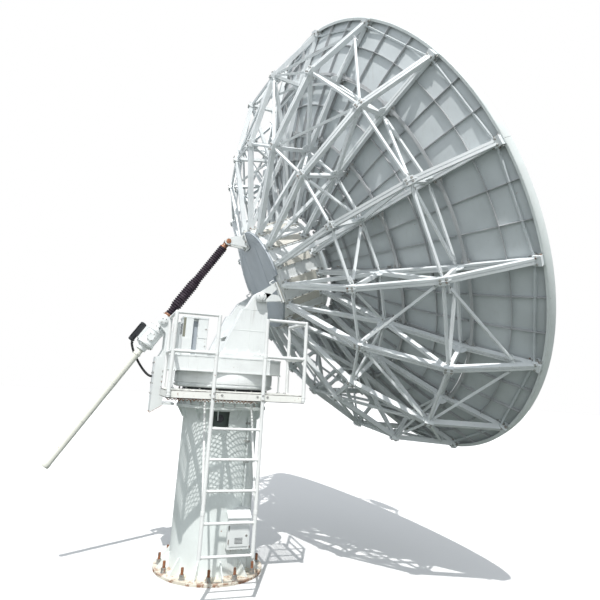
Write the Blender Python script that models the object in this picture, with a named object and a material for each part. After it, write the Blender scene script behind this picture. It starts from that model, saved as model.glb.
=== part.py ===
"""Earth station antenna on a steel pedestal: a 6.2 m reflector with an azimuth turret,
an elevation screw jack, a service platform and a ladder.  Metres, +Z up, origin at the
centre of the base flange's underside, +X the way the reflector points."""
import bpy
import bmesh
from math import atan2, cos, hypot, pi, radians, sin
from mathutils import Matrix, Vector

GAP = 0.0003

# Pedestal
FLANGE_R = 0.625
FLANGE_T = 0.03
BOLTS = 12
BOLT_CLOCK = 20.0
BOLT_CIRCLE_R = 0.56
BOLT_R = 0.017
BOLT_HEIGHT = 0.115
NUT_R = 0.03
NUT_HEIGHT = 0.03
GUSSET_T = 0.012
GUSSET_HEIGHT = 0.16
TUBE_R = 0.455
TUBE_TOP = 1.765
TUBE_SIDES = 32
FLARE_R = 0.505
FLARE_Z = 1.70
TOP_FLANGE_R = 0.55
TOP_FLANGE_TOP = 1.88
BEARING_R = 0.50
BEARING_TOP = 2.0
RECESS_X = (-0.17, 0.01)
RECESS_Z = (1.575, 1.745)
RECESS_BACK = -0.36
TUBE_BOX_X = (0.07, 0.34)
TUBE_BOX_FRONT = -0.54
TUBE_BOX_Z = (0.32, 0.64, 0.72)

# Turret
RUNNING_GAP = 0.0005
DRUM_R = 0.61
DRUM_NECK_R = 0.575
DRUM_TOP = 2.18
HOUSING_TOP = 2.36
HOUSING_BACK = -0.74
HOUSING_FRONT = 0.62
HOUSING_HALF = 0.62
HOUSING_CORNER_Y = 0.40
HOUSING_FACE_X = (-0.55, 0.42)
YOKE_PLATE_X = (-0.24, 0.44)
YOKE_PLATE_HALF = 0.585
YOKE_PLATE_TOP = 2.40
CABINET_X = (-0.64, -0.34)
CABINET_Y = (0.22, 0.54)
CABINET_TOP = 2.80
ARM_OUTER_Y = 0.535
ARM_INNER_Y = 0.37
ARM_TOP_R = 0.068
ARM_TOP_START = radians(11)
ARM_TOP_TURN = radians(136)
PIN_R = 0.035
PIN_CAP_R = 0.050
PIN_HOLE_FLAT_R = 0.0355
PIN_END_Y = 0.625
PIN_CAP_Y = (0.612, 0.635)
ARM_FOOT_X = (-0.17, 0.38)
ARM_FRONT_SHOULDER = (0.37, 2.95)
ARM_NECK = (0.105, 2.968)
ARM_SHOULDER = (0.06, 2.956)
WEB_FOOT_X = (-0.13, 0.33)
WEB_TOP_X = (0.28, 0.04)
WEB_TOP = 2.74

# Service platform and ladder
DECK_LEFT = -0.81
DECK_RIGHT = 0.667
DECK_FRONT = -1.155
DECK_BACK = -0.45
DECK_UNDER = 1.945
DECK_TOP = 1.975
DECK_CUT_R = 0.64
BEAM_UNDER = 1.897
BEAM_WIDTH = 0.05
HANGER_T = 0.04
HANGER_X = (-0.68, 0.58)
HANGER_Y = (-0.50, -0.455)
RAIL_R = 0.02
RAIL_Y = DECK_FRONT - RAIL_R - GAP
RAIL_TOP = 2.759
RAIL_MID = 2.365
RETURN_POST_Y = -0.60
LADDER_LEFT = -0.338
LADDER_RIGHT = 0.192
RUNG_PITCH = 0.2906
RUNG_LOWEST = 0.456
RUNG_R = 0.014
RUNGS = 5
LADDER_FOOT = 0.436
BRACE_FOOT = 0.85
BRACE_TOP_Y = -0.69
BRACE_R = 0.012

# Reflector, given in the hub's frame: along its axis, across, up
ELEVATION = radians(25.12)
AXIS_X = 0.26
AXIS_Z = 3.105
HUB_AHEAD = 0.275
HUB_ABOVE = 0.243
HUB_R = 0.69
HUB_DEPTH = 0.60
COVER_R = 0.675
COVER_T = 0.03
LUG_EYE_R = 0.062
LUG_T = 0.05
LUG_Y = 0.555
LUG_H = (-0.38, -0.135)
LUG_ROOT_T = 0.05
LUG_ROOT_Y = (0.55, 0.625)
LUG_ROOT_H = (-0.40, -0.13)
BRACKET_HALF = 0.10
BRACKET_H = (0.44, 0.655)
CHEEK_T = 0.02
CHEEK_Y = 0.048
RIBS = 16
RIB_CLOCK = 5.43
FOCUS = 2.1
APEX = 0.665
SHELL_T = 0.02
RIM_R = 3.09
RIM_LIP = 0.09
RINGS = (0.70, 1.0, 1.32, 1.633, 2.0, 2.397, 2.75, RIM_R)
FACETS_PER_BAY = 3

# Rib truss joints, (radius, distance along the axis)
REAR = ((0.70, 0.034), (1.79, 0.341), (2.586, 0.901), (3.04, 1.71))
FRONT = ((0.70, 0.56), (1.633, 0.823), (2.397, 1.255), (3.03, 1.69))
WEB_START = (0.712, 0.046)
CHORD_R = 0.031
WEB_R = 0.023
SEATS = ((0.80, 0.92), (1.57, 1.69), (2.34, 2.45), (2.92, 3.02))
REAR_CHORD_HALF = 0.030
FRONT_CHORD_HALF = 0.028

# Feed and subreflector, along the hub's axis
FEED_PLATE_R = 0.685
FEED_PLATE_FRONT = 0.64
HORN_R = 0.16
HORN_MOUTH_R = 0.20
HORN_END = 1.62
SUB_R = 0.42
SUB_FRONT = 2.30
SUB_BACK = 2.50
LEG_R = 0.025
LEG_FOOT_R = 1.89
LEG_PAD_HALF = 0.05
LEG_HEAD = (2.44, 0, 0.36)

# Hoops on the back of the reflector: radius, width, and depth behind its skin
HOOPS = ((1.745, 0.03, 0.045), (2.10, 0.008, 0.028), (2.43, 0.03, 0.045), (2.76, 0.008, 0.028))
HOOP_CLEARANCE = 0.033

# Bracing between the ribs; the bays beside the elevation axis have no rear diagonals
BRACE_BAR_HALF = 0.0175
CROSSED_BAYS = (1, 2, 3, 4, 5, 6, 9, 10, 11, 12, 13, 14)
CROSS_FOOT = (2.93, 1.515)
CROSS_SHORT = 0.058
SADDLE_HALF = 0.055
SADDLE_T = 0.012
SADDLE_DEPTH = 0.026

# Screw jack, measured along its axis from the trunnion
TRUNNION = (-0.83, 2.757)
ROD_PIN = (-0.266, 0.627)
SCREW_R = 0.0225
SCREW_TAIL = -0.40
BORE_R = 0.029
GEARBOX_R = 0.112
FORK_INNER = 0.135
FORK_OUTER = 0.16
FORK_EYE_R = 0.07
FORK_HOLE_R = 0.034
COLUMN_DEPTH = 0.135
COLUMN_HALF = 0.17
COLUMN_FEET = (1.685, 1.77)
COLUMN_TOP = 2.33
SHELF_Z = (1.78, 1.805)
SHELF_REACH = -0.60
STUB_R = 0.028
STUB_END = 0.185
ADAPTOR_X = (-0.124, -0.09)
ADAPTOR_Z = (-0.33, -0.15)
MOTOR_R = 0.042
MOTOR_Y = 0.04
MOTOR_Z = (-0.40, -0.14)
MOTOR_FOOT_Z = (-0.32, -0.16)
TUBE_COVER_INNER_R = 0.031
BELLOWS_INNER_R = 0.034
ROD_COLLAR_R = 0.04
ROD_EYE_R = 0.05
TUBE_COVER_R = 0.043
TUBE_COVER_END = -2.0


def world_of_hub(s, y, h):
    """A point of the hub's frame in world coordinates."""
    ahead = s + HUB_AHEAD
    above = h + HUB_ABOVE
    x = AXIS_X + ahead * cos(ELEVATION) - above * sin(ELEVATION)
    z = AXIS_Z + ahead * sin(ELEVATION) + above * cos(ELEVATION)
    return Vector((x, y, z))


ROD_PIN_WORLD = world_of_hub(ROD_PIN[0], 0, ROD_PIN[1])
JACK_RUN = ROD_PIN_WORLD.x - TRUNNION[0]
JACK_RISE = ROD_PIN_WORLD.z - TRUNNION[1]
JACK_LENGTH = hypot(JACK_RUN, JACK_RISE)
JACK_LEAN = atan2(JACK_RUN, JACK_RISE)


def clear_scene():
    for ob in list(bpy.data.objects):
        bpy.data.objects.remove(ob, do_unlink=True)


def material(name, colour, roughness, metallic=0.0):
    mat = bpy.data.materials.new(name)
    mat.use_nodes = True
    shader = mat.node_tree.nodes["Principled BSDF"]
    shader.inputs["Base Color"].default_value = (*colour, 1.0)
    shader.inputs["Roughness"].default_value = roughness
    shader.inputs["Metallic"].default_value = metallic
    mat.diffuse_color = (*colour, 1.0)
    return mat


def mesh_of(bm, name="shape"):
    """Close a bmesh off: outward faces, one mesh."""
    bmesh.ops.recalc_face_normals(bm, faces=bm.faces)
    mesh = bpy.data.meshes.new(name)
    bm.to_mesh(mesh)
    bm.free()
    return mesh


def prism(outline, axis, low, high, hole=None):
    """A flat outline, with an optional hole, extruded along world or local X, Y or Z."""
    bm = bmesh.new()

    def ring(points, level):
        spots = {"X": lambda a, b: (level, a, b), "Y": lambda a, b: (a, level, b),
                 "Z": lambda a, b: (a, b, level)}
        return [bm.verts.new(spots[axis](a, b)) for a, b in points]

    loops = [outline] + ([hole] if hole else [])
    lower = [ring(points, low) for points in loops]
    upper = [ring(points, high) for points in loops]
    for bottom, top in zip(lower, upper):
        for k in range(len(bottom)):
            j = (k + 1) % len(bottom)
            bm.faces.new((bottom[k], bottom[j], top[j], top[k]))
    for group in (lower, upper):
        if hole:
            edges = []
            for verts in group:
                edges += [bm.edges.get((verts[k], verts[(k + 1) % len(verts)]))
                          for k in range(len(verts))]
            bmesh.ops.triangle_fill(bm, use_beauty=True, edges=edges)
        else:
            bm.faces.new(group[0])
    return mesh_of(bm)


def box(low, high):
    outline = [(low[0], low[1]), (high[0], low[1]), (high[0], high[1]), (low[0], high[1])]
    return prism(outline, "Z", low[2], high[2])


def circle(centre, radius, sides, start=0.0, turn=2 * pi):
    """Points round a circle, or along an arc when turn is less than a full one."""
    count = sides if turn >= 2 * pi else sides + 1
    return [(centre[0] + radius * cos(start + turn * k / sides),
             centre[1] + radius * sin(start + turn * k / sides)) for k in range(count)]


def turned(profile, sides, bored=False):
    """A profile of (radius, height) spun about Z; a bored one is a closed loop."""
    bm = bmesh.new()
    verts = [bm.verts.new((r, 0, z)) for r, z in profile]
    pairs = list(zip(verts, verts[1:]))
    if bored:
        pairs.append((verts[-1], verts[0]))
    edges = [bm.edges.new(pair) for pair in pairs]
    bmesh.ops.spin(bm, geom=verts + edges, axis=(0, 0, 1), cent=(0, 0, 0), angle=2 * pi,
                   steps=sides, use_merge=True)
    bmesh.ops.remove_doubles(bm, verts=bm.verts, dist=1e-6)
    return mesh_of(bm)


def bar(start, end, radius, sides=6, roll=0.0):
    """A round bar of few sides between two points."""
    a, b = Vector(start), Vector(end)
    along = b - a
    spin = along.to_track_quat("Z", "Y").to_matrix().to_4x4() @ Matrix.Rotation(roll, 4, "Z")
    bm = bmesh.new()
    bmesh.ops.create_cone(bm, cap_ends=True, segments=sides, radius1=radius, radius2=radius,
                          depth=along.length, matrix=Matrix.Translation((a + b) / 2) @ spin)
    return mesh_of(bm)


def combined(meshes, operation):
    """The first mesh joined with, or cut by, all the others."""
    scene = bpy.context.scene.collection
    first = bpy.data.objects.new("first", meshes[0])
    scene.objects.link(first)
    group = bpy.data.collections.new("others")
    scene.children.link(group)
    others = []
    for mesh in meshes[1:]:
        other = bpy.data.objects.new("other", mesh)
        group.objects.link(other)
        others.append(other)
    modifier = first.modifiers.new("Boolean", "BOOLEAN")
    modifier.operation = operation
    modifier.operand_type = "COLLECTION"
    modifier.collection = group
    modifier.solver = "EXACT"
    bpy.context.view_layer.update()
    evaluated = first.evaluated_get(bpy.context.evaluated_depsgraph_get())
    result = bpy.data.meshes.new_from_object(evaluated)
    for ob in [first] + others:
        bpy.data.objects.remove(ob, do_unlink=True)
    bpy.data.collections.remove(group)
    return result


def fuse(meshes):
    return combined(meshes, "UNION")


def cut(mesh, cutters):
    return combined([mesh] + cutters, "DIFFERENCE")


def add(name, mesh, mat, parent=None, location=(0, 0, 0), rotation=(0, 0, 0), smooth=False):
    mesh.name = name
    if not mesh.materials:
        mesh.materials.append(mat)
    if smooth:
        mesh.shade_smooth()
        mesh.set_sharp_from_angle(angle=radians(35))
    ob = bpy.data.objects.new(name, mesh)
    bpy.context.scene.collection.objects.link(ob)
    ob.parent = parent
    ob.location = location
    ob.rotation_euler = rotation
    return ob


def empty(name, location, rotation=(0, 0, 0)):
    ob = bpy.data.objects.new(name, None)
    bpy.context.scene.collection.objects.link(ob)
    ob.location = location
    ob.rotation_euler = rotation
    return ob


def add_pedestal(mats):
    disc = turned([(0, 0), (FLANGE_R, 0), (FLANGE_R, FLANGE_T), (0, FLANGE_T)], 48)
    fittings = []
    for k in range(BOLTS):
        angle = radians(BOLT_CLOCK) + 2 * pi * k / BOLTS
        spot = (BOLT_CIRCLE_R * cos(angle), BOLT_CIRCLE_R * sin(angle))
        inside = FLANGE_T - 0.01
        fittings.append(bar((*spot, inside), (*spot, FLANGE_T + BOLT_HEIGHT), BOLT_R))
        fittings.append(bar((*spot, inside), (*spot, FLANGE_T + NUT_HEIGHT), NUT_R))
        gusset = prism([(TUBE_R + GAP, inside), (FLANGE_R - 0.03, inside),
                        (FLANGE_R - 0.03, FLANGE_T + 0.012),
                        (TUBE_R + GAP, FLANGE_T + GUSSET_HEIGHT)],
                       "Y", -GUSSET_T / 2, GUSSET_T / 2)
        gusset.transform(Matrix.Rotation(angle + pi / BOLTS, 4, "Z"))
        fittings.append(gusset)
    add("base_flange", fuse([disc] + fittings), mats["white"])
    tube = turned([(0, FLANGE_T + GAP), (TUBE_R, FLANGE_T + GAP), (TUBE_R, FLARE_Z),
                   (FLARE_R, TUBE_TOP), (0, TUBE_TOP)], TUBE_SIDES)
    recess = box((RECESS_X[0], -0.6, RECESS_Z[0]), (RECESS_X[1], RECESS_BACK, RECESS_Z[1]))
    add("pedestal_tube", cut(tube, [recess]), mats["white"], smooth=True)
    flange = turned([(0, TUBE_TOP + GAP), (TOP_FLANGE_R, TUBE_TOP + GAP),
                     (TOP_FLANGE_R, TOP_FLANGE_TOP), (0, TOP_FLANGE_TOP)], 32)
    add("top_flange", flange, mats["white"], smooth=True)
    bearing = turned([(0, TOP_FLANGE_TOP + GAP), (BEARING_R, TOP_FLANGE_TOP + GAP),
                      (BEARING_R, BEARING_TOP), (0, BEARING_TOP)], 32)
    add("azimuth_bearing", bearing, mats["dark"], smooth=True)
    foot, eaves, ridge = TUBE_BOX_Z
    back = -0.36
    case = prism([(TUBE_BOX_FRONT, foot), (back, foot), (back, ridge), (TUBE_BOX_FRONT, eaves)],
                 "X", *TUBE_BOX_X)
    below, above = foot - 0.1, ridge + 0.1
    core = turned([(0, below), (TUBE_R + GAP, below), (TUBE_R + GAP, above), (0, above)],
                  TUBE_SIDES)
    add("tube_box", cut(case, [core]), mats["white"])


def add_turret(mats, turret):
    under = BEARING_TOP + RUNNING_GAP
    drum = turned([(0, under), (DRUM_NECK_R, under), (DRUM_R, under + 0.03),
                   (DRUM_R, DRUM_TOP), (0, DRUM_TOP)], 32)
    add("turret_drum", drum, mats["white"], turret, smooth=True)
    left, right = HOUSING_FACE_X
    outline = [(HOUSING_BACK, -HOUSING_CORNER_Y), (left, -HOUSING_HALF), (right, -HOUSING_HALF),
               (HOUSING_FRONT, -HOUSING_CORNER_Y), (HOUSING_FRONT, HOUSING_CORNER_Y),
               (right, HOUSING_HALF), (left, HOUSING_HALF), (HOUSING_BACK, HOUSING_CORNER_Y)]
    add("turret_housing", prism(outline, "Z", DRUM_TOP + GAP, HOUSING_TOP), mats["white"], turret)
    plate = box((YOKE_PLATE_X[0], -YOKE_PLATE_HALF, HOUSING_TOP + GAP),
                (YOKE_PLATE_X[1], YOKE_PLATE_HALF, YOKE_PLATE_TOP))
    add("yoke_base_plate", plate, mats["white"], turret)
    add_yoke(mats, turret)
    for name, side in (("cabinet_near", -1), ("cabinet_far", 1)):
        low_y, high_y = sorted(side * y for y in CABINET_Y)
        case = box((CABINET_X[0], low_y, HOUSING_TOP + GAP), (CABINET_X[1], high_y, CABINET_TOP))
        add(name, case, mats["white"], turret)


def add_yoke(mats, turret):
    """Two tapering arms with the elevation pins, and a web between them."""
    foot = YOKE_PLATE_TOP + GAP
    top = circle((AXIS_X, AXIS_Z), ARM_TOP_R, 8, ARM_TOP_START, ARM_TOP_TURN)
    outline = [(x, foot) for x in ARM_FOOT_X] + [ARM_FRONT_SHOULDER] + top
    outline += [ARM_NECK, ARM_SHOULDER]
    for name, side in (("yoke_arm_near", -1), ("yoke_arm_far", 1)):
        inner, outer = sorted((side * ARM_INNER_Y, side * ARM_OUTER_Y))
        arm = prism(outline, "Y", inner, outer)
        pin = bar((AXIS_X, side * (ARM_OUTER_Y - 0.02), AXIS_Z),
                  (AXIS_X, side * PIN_END_Y, AXIS_Z), PIN_R, 16)
        cap = bar((AXIS_X, side * PIN_CAP_Y[0], AXIS_Z), (AXIS_X, side * PIN_CAP_Y[1], AXIS_Z),
                  PIN_CAP_R, 16)
        add(name, fuse([arm, pin, cap]), mats["white"], turret)
    outline = [(x, foot) for x in WEB_FOOT_X] + [(x, WEB_TOP) for x in WEB_TOP_X]
    web = prism(outline, "Y", -ARM_INNER_Y + GAP, ARM_INNER_Y - GAP)
    add("yoke_web", web, mats["white"], turret)


def add_platform(mats, turret):
    reach = (DECK_CUT_R ** 2 - DECK_BACK ** 2) ** 0.5
    start = atan2(DECK_BACK, reach)
    arc = circle((0, 0), DECK_CUT_R, 12, start, -(pi + 2 * start))
    plate = prism([(DECK_RIGHT, DECK_BACK), (DECK_RIGHT, DECK_FRONT), (DECK_LEFT, DECK_FRONT),
                   (DECK_LEFT, DECK_BACK)] + list(reversed(arc)), "Z", DECK_UNDER, DECK_TOP)
    inner = DECK_FRONT + BEAM_WIDTH
    beams = [box((DECK_LEFT, DECK_FRONT, BEAM_UNDER), (DECK_RIGHT, inner, DECK_TOP)),
             box((DECK_LEFT, DECK_FRONT, BEAM_UNDER), (DECK_LEFT + BEAM_WIDTH, DECK_BACK, DECK_TOP)),
             box((DECK_RIGHT - BEAM_WIDTH, DECK_FRONT, BEAM_UNDER), (DECK_RIGHT, DECK_BACK, DECK_TOP))]
    add("platform_deck", fuse([plate] + beams), mats["white"], turret)
    for name, x in zip(("platform_hanger_left", "platform_hanger_right"), HANGER_X):
        hanger = box((x - HANGER_T / 2, HANGER_Y[0], DECK_TOP + GAP),
                     (x + HANGER_T / 2, HANGER_Y[1], DRUM_TOP))
        add(name, hanger, mats["white"], turret)
    add_railings(mats, turret)
    add_ladder(mats, turret)


def add_railings(mats, turret):
    """Each side has a run along the front and a return towards the turret."""
    for name, corner, gate in (("railing_left", DECK_LEFT + RAIL_R, LADDER_LEFT),
                               ("railing_right", DECK_RIGHT - RAIL_R, LADDER_RIGHT)):
        inward = 1 if gate > corner else -1
        end = gate - inward * (RAIL_R + GAP)
        back = RETURN_POST_Y
        pieces = [bar((corner, RAIL_Y, BEAM_UNDER + 0.01), (corner, RAIL_Y, RAIL_TOP), RAIL_R),
                  bar((corner, back, DECK_TOP + GAP), (corner, back, RAIL_TOP), RAIL_R)]
        for level in (RAIL_MID, RAIL_TOP):
            pieces.append(bar((corner, RAIL_Y, level), (end, RAIL_Y, level), RAIL_R * 0.95))
            pieces.append(bar((corner, RAIL_Y, level), (corner, back, level), RAIL_R * 0.95))
        add(name, fuse(pieces), mats["white"], turret)


def add_ladder(mats, turret):
    pieces = []
    for x in (LADDER_LEFT, LADDER_RIGHT):
        pieces.append(bar((x, RAIL_Y, LADDER_FOOT), (x, RAIL_Y, RAIL_TOP + 0.01), RAIL_R))
        pieces.append(bar((x, RAIL_Y, BRACE_FOOT), (x, BRACE_TOP_Y, DECK_UNDER - 0.01), BRACE_R))
        pieces.append(box((x - 0.03, BRACE_TOP_Y - 0.04, DECK_UNDER - 0.02),
                          (x + 0.03, BRACE_TOP_Y + 0.03, DECK_UNDER - GAP)))
    for k in range(RUNGS):
        level = RUNG_LOWEST + k * RUNG_PITCH
        pieces.append(bar((LADDER_LEFT, RAIL_Y, level), (LADDER_RIGHT, RAIL_Y, level), RUNG_R))
    add("ladder", fuse(pieces), mats["white"], turret)


def add_jack_arm(mats, turret):
    """The column on the turret's back, with the fork that holds the trunnion."""
    right = HOUSING_BACK - GAP
    left = right - COLUMN_DEPTH
    column = prism([(left, COLUMN_FEET[0]), (right, COLUMN_FEET[1]), (right, COLUMN_TOP),
                    (left, COLUMN_TOP)], "Y", -COLUMN_HALF, COLUMN_HALF)
    eye = circle(TRUNNION, FORK_EYE_R, 8, radians(-20), radians(230))
    root = COLUMN_TOP - 0.03
    outline = ([(left + 0.02, root), (right, root), (right, 2.37), (-0.705, 2.42), (-0.705, 2.62)]
               + eye + [(-0.79, 2.61), (-0.79, 2.43)])
    hole = circle(TRUNNION, FORK_HOLE_R, 12)
    hole.reverse()
    plates = [prism(outline, "Y", low, high, hole)
              for low, high in ((-FORK_OUTER, -FORK_INNER), (FORK_INNER, FORK_OUTER))]
    shelf = box((right - 0.01, -FORK_OUTER, SHELF_Z[0]), (SHELF_REACH, FORK_OUTER, SHELF_Z[1]))
    add("jack_arm", fuse([column, shelf] + plates), mats["white"], turret)


def shell_front(r):
    """How far forward the reflecting surface is at a radius, on the flat facets."""
    for inner, outer in zip(RINGS, RINGS[1:]):
        if r <= outer:
            share = (r - inner) / (outer - inner)
            low = APEX + inner ** 2 / (4 * FOCUS)
            high = APEX + outer ** 2 / (4 * FOCUS)
            return low + share * (high - low)
    return APEX + r ** 2 / (4 * FOCUS)


def around(r, s, angle, shift=0.0):
    """A point at a radius and an angle round the hub's axis, shifted sideways a little."""
    sideways = shift / r
    return (s, -r * cos(angle + sideways), r * sin(angle + sideways))


def strip(points, half):
    """The outline of a kinked bar of even width about a line of points."""
    line = [Vector(p) for p in points]
    normals = []
    for a, b in zip(line, line[1:]):
        along = (b - a).normalized()
        normals.append(Vector((-along.y, along.x)))
    joints = [normals[0]] + [(a + b) / (1 + a.dot(b)) for a, b in zip(normals, normals[1:])]
    joints.append(normals[-1])
    left = [p + n * half for p, n in zip(line, joints)]
    right = [p - n * half for p, n in zip(line, joints)]
    return [tuple(p) for p in left + right[::-1]]


def rib_mesh():
    """A planar truss in the local XZ plane: X along the axis, Z outwards."""
    members = ((REAR, CHORD_R, REAR_CHORD_HALF), (FRONT, CHORD_R, FRONT_CHORD_HALF),
               ((REAR[1], FRONT[1]), WEB_R, 0.022), ((REAR[2], FRONT[2]), WEB_R, 0.020),
               ((WEB_START, FRONT[1]), WEB_R, 0.018), ((FRONT[1], REAR[2]), WEB_R, 0.024))
    pieces = []
    for joints, half, thick in members:
        outline = strip([(s, r) for r, s in joints], half)
        pieces.append(prism(outline, "Y", -thick, thick))
    pieces.append(box((0.0, -0.055, HUB_R + GAP), (HUB_DEPTH, 0.055, HUB_R + 0.022)))
    pieces.append(prism([(1.64, 2.985), (1.70, 2.985), (1.735, 3.068), (1.67, 3.068)], "Y",
                        -0.05, 0.05))
    for low, high in SEATS:
        level = chord_level(FRONT, (low + high) / 2)
        stops = [low] + [r for r in RINGS if low < r < high] + [high]
        top = [(shell_front(r) - SHELL_T - GAP, r) for r in stops]
        pieces.append(prism([(level, high), (level, low)] + top, "Y", -0.008, 0.008))
    return fuse(pieces)


def chord_level(chord, r):
    """Where a chord's centre line is at a radius."""
    for (r0, s0), (r1, s1) in zip(chord, chord[1:]):
        if r <= r1:
            return s0 + (s1 - s0) * max(0.0, (r - r0) / (r1 - r0))
    return chord[-1][1]


def shell_back(r):
    return shell_front(r) - SHELL_T


def hoop_corners(radius, width, depth):
    """A hoop's outer root, its two tips and its inner root, as (radius, along the axis)."""
    lean = atan2(radius, 2 * FOCUS)
    roots = [(r, shell_back(r)) for r in (radius + width / 2, radius - width / 2)]
    tips = [(r + sin(lean) * depth, s - cos(lean) * depth) for r, s in roots]
    return roots[0], tips[0], tips[1], roots[1]


def shell_profile():
    """The shell's section round to its back, and which of its points are hoop tips."""
    lip = RIM_R - 0.014
    edge = [(r, shell_front(r)) for r in RINGS]
    edge += [(RIM_R, shell_front(RIM_R) - RIM_LIP), (lip, shell_front(RIM_R) - RIM_LIP),
             (lip, shell_front(lip) - SHELL_T)]
    groups = [(r, [(r, shell_back(r))]) for r in RINGS[:-1]]
    groups += [(hoop[0], hoop_corners(*hoop)) for hoop in HOOPS]
    profile = [(spot, False) for spot in edge]
    for _, group in sorted(groups, reverse=True):
        profile += [(spot, len(group) > 1 and 0 < i < 3) for i, spot in enumerate(group)]
    return profile


def shell_columns(first_rib):
    """Where the section is set round the axis: angle, shift sideways, and whether it has hoops."""
    columns = [(RIB_CLOCK + 360 / RIBS * first_rib, GAP / 2, False)]
    for k in range(first_rib, first_rib + RIBS // 4):
        start = RIB_CLOCK + 360 / RIBS * k
        facet = 360 / RIBS / FACETS_PER_BAY
        columns.append((start, HOOP_CLEARANCE, True))
        columns += [(start + facet * i, 0.0, True) for i in range(1, FACETS_PER_BAY)]
        columns.append((start + facet * FACETS_PER_BAY, -HOOP_CLEARANCE, True))
    columns.append((RIB_CLOCK + 360 / RIBS * (first_rib + RIBS // 4), -GAP / 2, False))
    return columns


def shell_quadrant(first_rib):
    """A quarter of the bowl, with the rim's lip, and hoops that stop short of the ribs."""
    bm = bmesh.new()
    profile = shell_profile()
    tips = [i for i, (_, tip) in enumerate(profile) if tip]
    plain = [i for i, (_, tip) in enumerate(profile) if not tip]
    columns = shell_columns(first_rib)
    rows = []
    for angle, shift, hooped in columns:
        rows.append([bm.verts.new(around(*spot, radians(angle), shift)) if hooped or not tip else None
                     for spot, tip in profile])
    for j, (row, following) in enumerate(zip(rows, rows[1:])):
        inside = columns[j][2] and columns[j + 1][2] and columns[j][1] >= 0
        loop = range(len(profile)) if inside else plain
        for a, b in zip(loop, [*loop[1:], loop[0]]):
            bm.faces.new((row[a], row[b], following[b], following[a]))
    for (_, shift, hooped), row in zip(columns, rows):
        if hooped and shift:
            for tip in tips[::2]:
                bm.faces.new(row[tip - 1:tip + 3])
    for row in (rows[0], rows[-1]):
        close_section(bm, [row[i] for i in plain])
    return mesh_of(bm)


def close_section(bm, section):
    """Fill a quarter's end, ring by ring, between its front and its back."""
    count = len(RINGS)
    bm.faces.new(section[count - 1:count + 3])
    back = section[count + 3:]
    radius = [hypot(vert.co.y, vert.co.z) for vert in section]
    corner = section[count + 2]
    for k in range(count - 2, -1, -1):
        reach = [vert for vert in back if hypot(vert.co.y, vert.co.z) > radius[k] - GAP]
        bm.faces.new([section[k], section[k + 1], corner, *reach])
        corner = reach[-1]
        back = back[len(reach):]


def rib_turn(k):
    """Turns a rib's own frame, with Z outwards, to the place of rib k."""
    return Matrix.Rotation(radians(90 - RIB_CLOCK - 360 / RIBS * k), 3, "X")


def brace(first, second):
    """A square bar between joints of two ribs, cut off flush beside each of them.

    Each end is (rib, (radius, along the axis), distance from the rib's plane)."""
    ends = []
    for k, (r, s), clear in (first, second):
        turn = rib_turn(k)
        ends.append((turn @ Vector((s, 0, r)), turn @ Vector((0, 1, 0)), clear))
    (a, _, _), (b, _, _) = ends
    along = (b - a).normalized()
    side = along.cross(Vector((1, 0, 0))).normalized()
    other = along.cross(side)
    bm = bmesh.new()
    rings = []
    for at, across, clear in ends:
        way = 1 if (a + b - 2 * at).dot(across) > 0 else -1
        ring = []
        for x, y in ((1, 1), (-1, 1), (-1, -1), (1, -1)):
            corner = a + (side * x + other * y) * BRACE_BAR_HALF
            share = (way * clear - (corner - at).dot(across)) / along.dot(across)
            ring.append(bm.verts.new(corner + along * share))
        rings.append(ring)
    for k in range(4):
        j = (k + 1) % 4
        bm.faces.new((rings[0][k], rings[0][j], rings[1][j], rings[1][k]))
    for ring in rings:
        bm.faces.new(ring)
    return mesh_of(bm)


def saddle(index, k):
    """A clip that carries the bracing past rib k, round the back of its rear chord."""
    before, here, after = (Vector((s, r)) for r, s in REAR[index - 1:index + 2])
    ways = [(here - before).normalized(), (after - here).normalized()]
    along = (ways[0] + ways[1]).normalized()
    level = CHORD_R / along.dot(ways[0]) + GAP
    inner = REAR_CHORD_HALF + GAP
    outer = inner + SADDLE_T
    outline = [(-outer, -SADDLE_DEPTH), (-inner, -SADDLE_DEPTH), (-inner, level), (inner, level),
               (inner, -SADDLE_DEPTH), (outer, -SADDLE_DEPTH), (outer, level + SADDLE_T),
               (-outer, level + SADDLE_T)]
    mesh = prism(outline, "Z", -SADDLE_HALF, SADDLE_HALF)
    frame = Matrix(((0, -along.y, along.x), (1, 0, 0), (0, along.x, along.y)))
    mesh.transform(Matrix.Translation(rib_turn(k) @ Vector((here.x, 0, here.y)))
                   @ (rib_turn(k) @ frame).to_4x4())
    return mesh


def add_bracing(mats, tilt, seat):
    """Two rings of hoops and zigzags between the ribs; the outer one has the rear diagonals."""
    rear = REAR_CHORD_HALF + GAP
    held = rear + SADDLE_T / 3
    front = FRONT_CHORD_HALF + GAP
    inner, outer = [], []
    for k in range(RIBS):
        odd, even = (k, k + 1) if k % 2 else (k + 1, k)
        inner.append(brace((k, REAR[1], held), (k + 1, REAR[1], held)))
        inner.append(brace((k, FRONT[1], front), (k + 1, FRONT[1], front)))
        inner.append(brace((odd, REAR[1], held), (even, FRONT[1], front)))
        inner.append(saddle(1, k))
        outer.append(brace((k, REAR[2], held), (k + 1, REAR[2], held)))
        outer.append(brace((k, FRONT[2], front), (k + 1, FRONT[2], front)))
        outer.append(brace((odd, FRONT[2], front), (even, REAR[2], held)))
        outer.append(saddle(2, k))
        if k in CROSSED_BAYS:
            outer.append(brace((odd, REAR[2], held), (even, REAR[1], CROSS_SHORT)))
            outer.append(brace((odd, REAR[2], held), (even, CROSS_FOOT, rear)))
    add("inner_bracing", fuse(inner), mats["frame"], tilt, seat)
    add("outer_bracing", fuse(outer), mats["frame"], tilt, seat)


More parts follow.
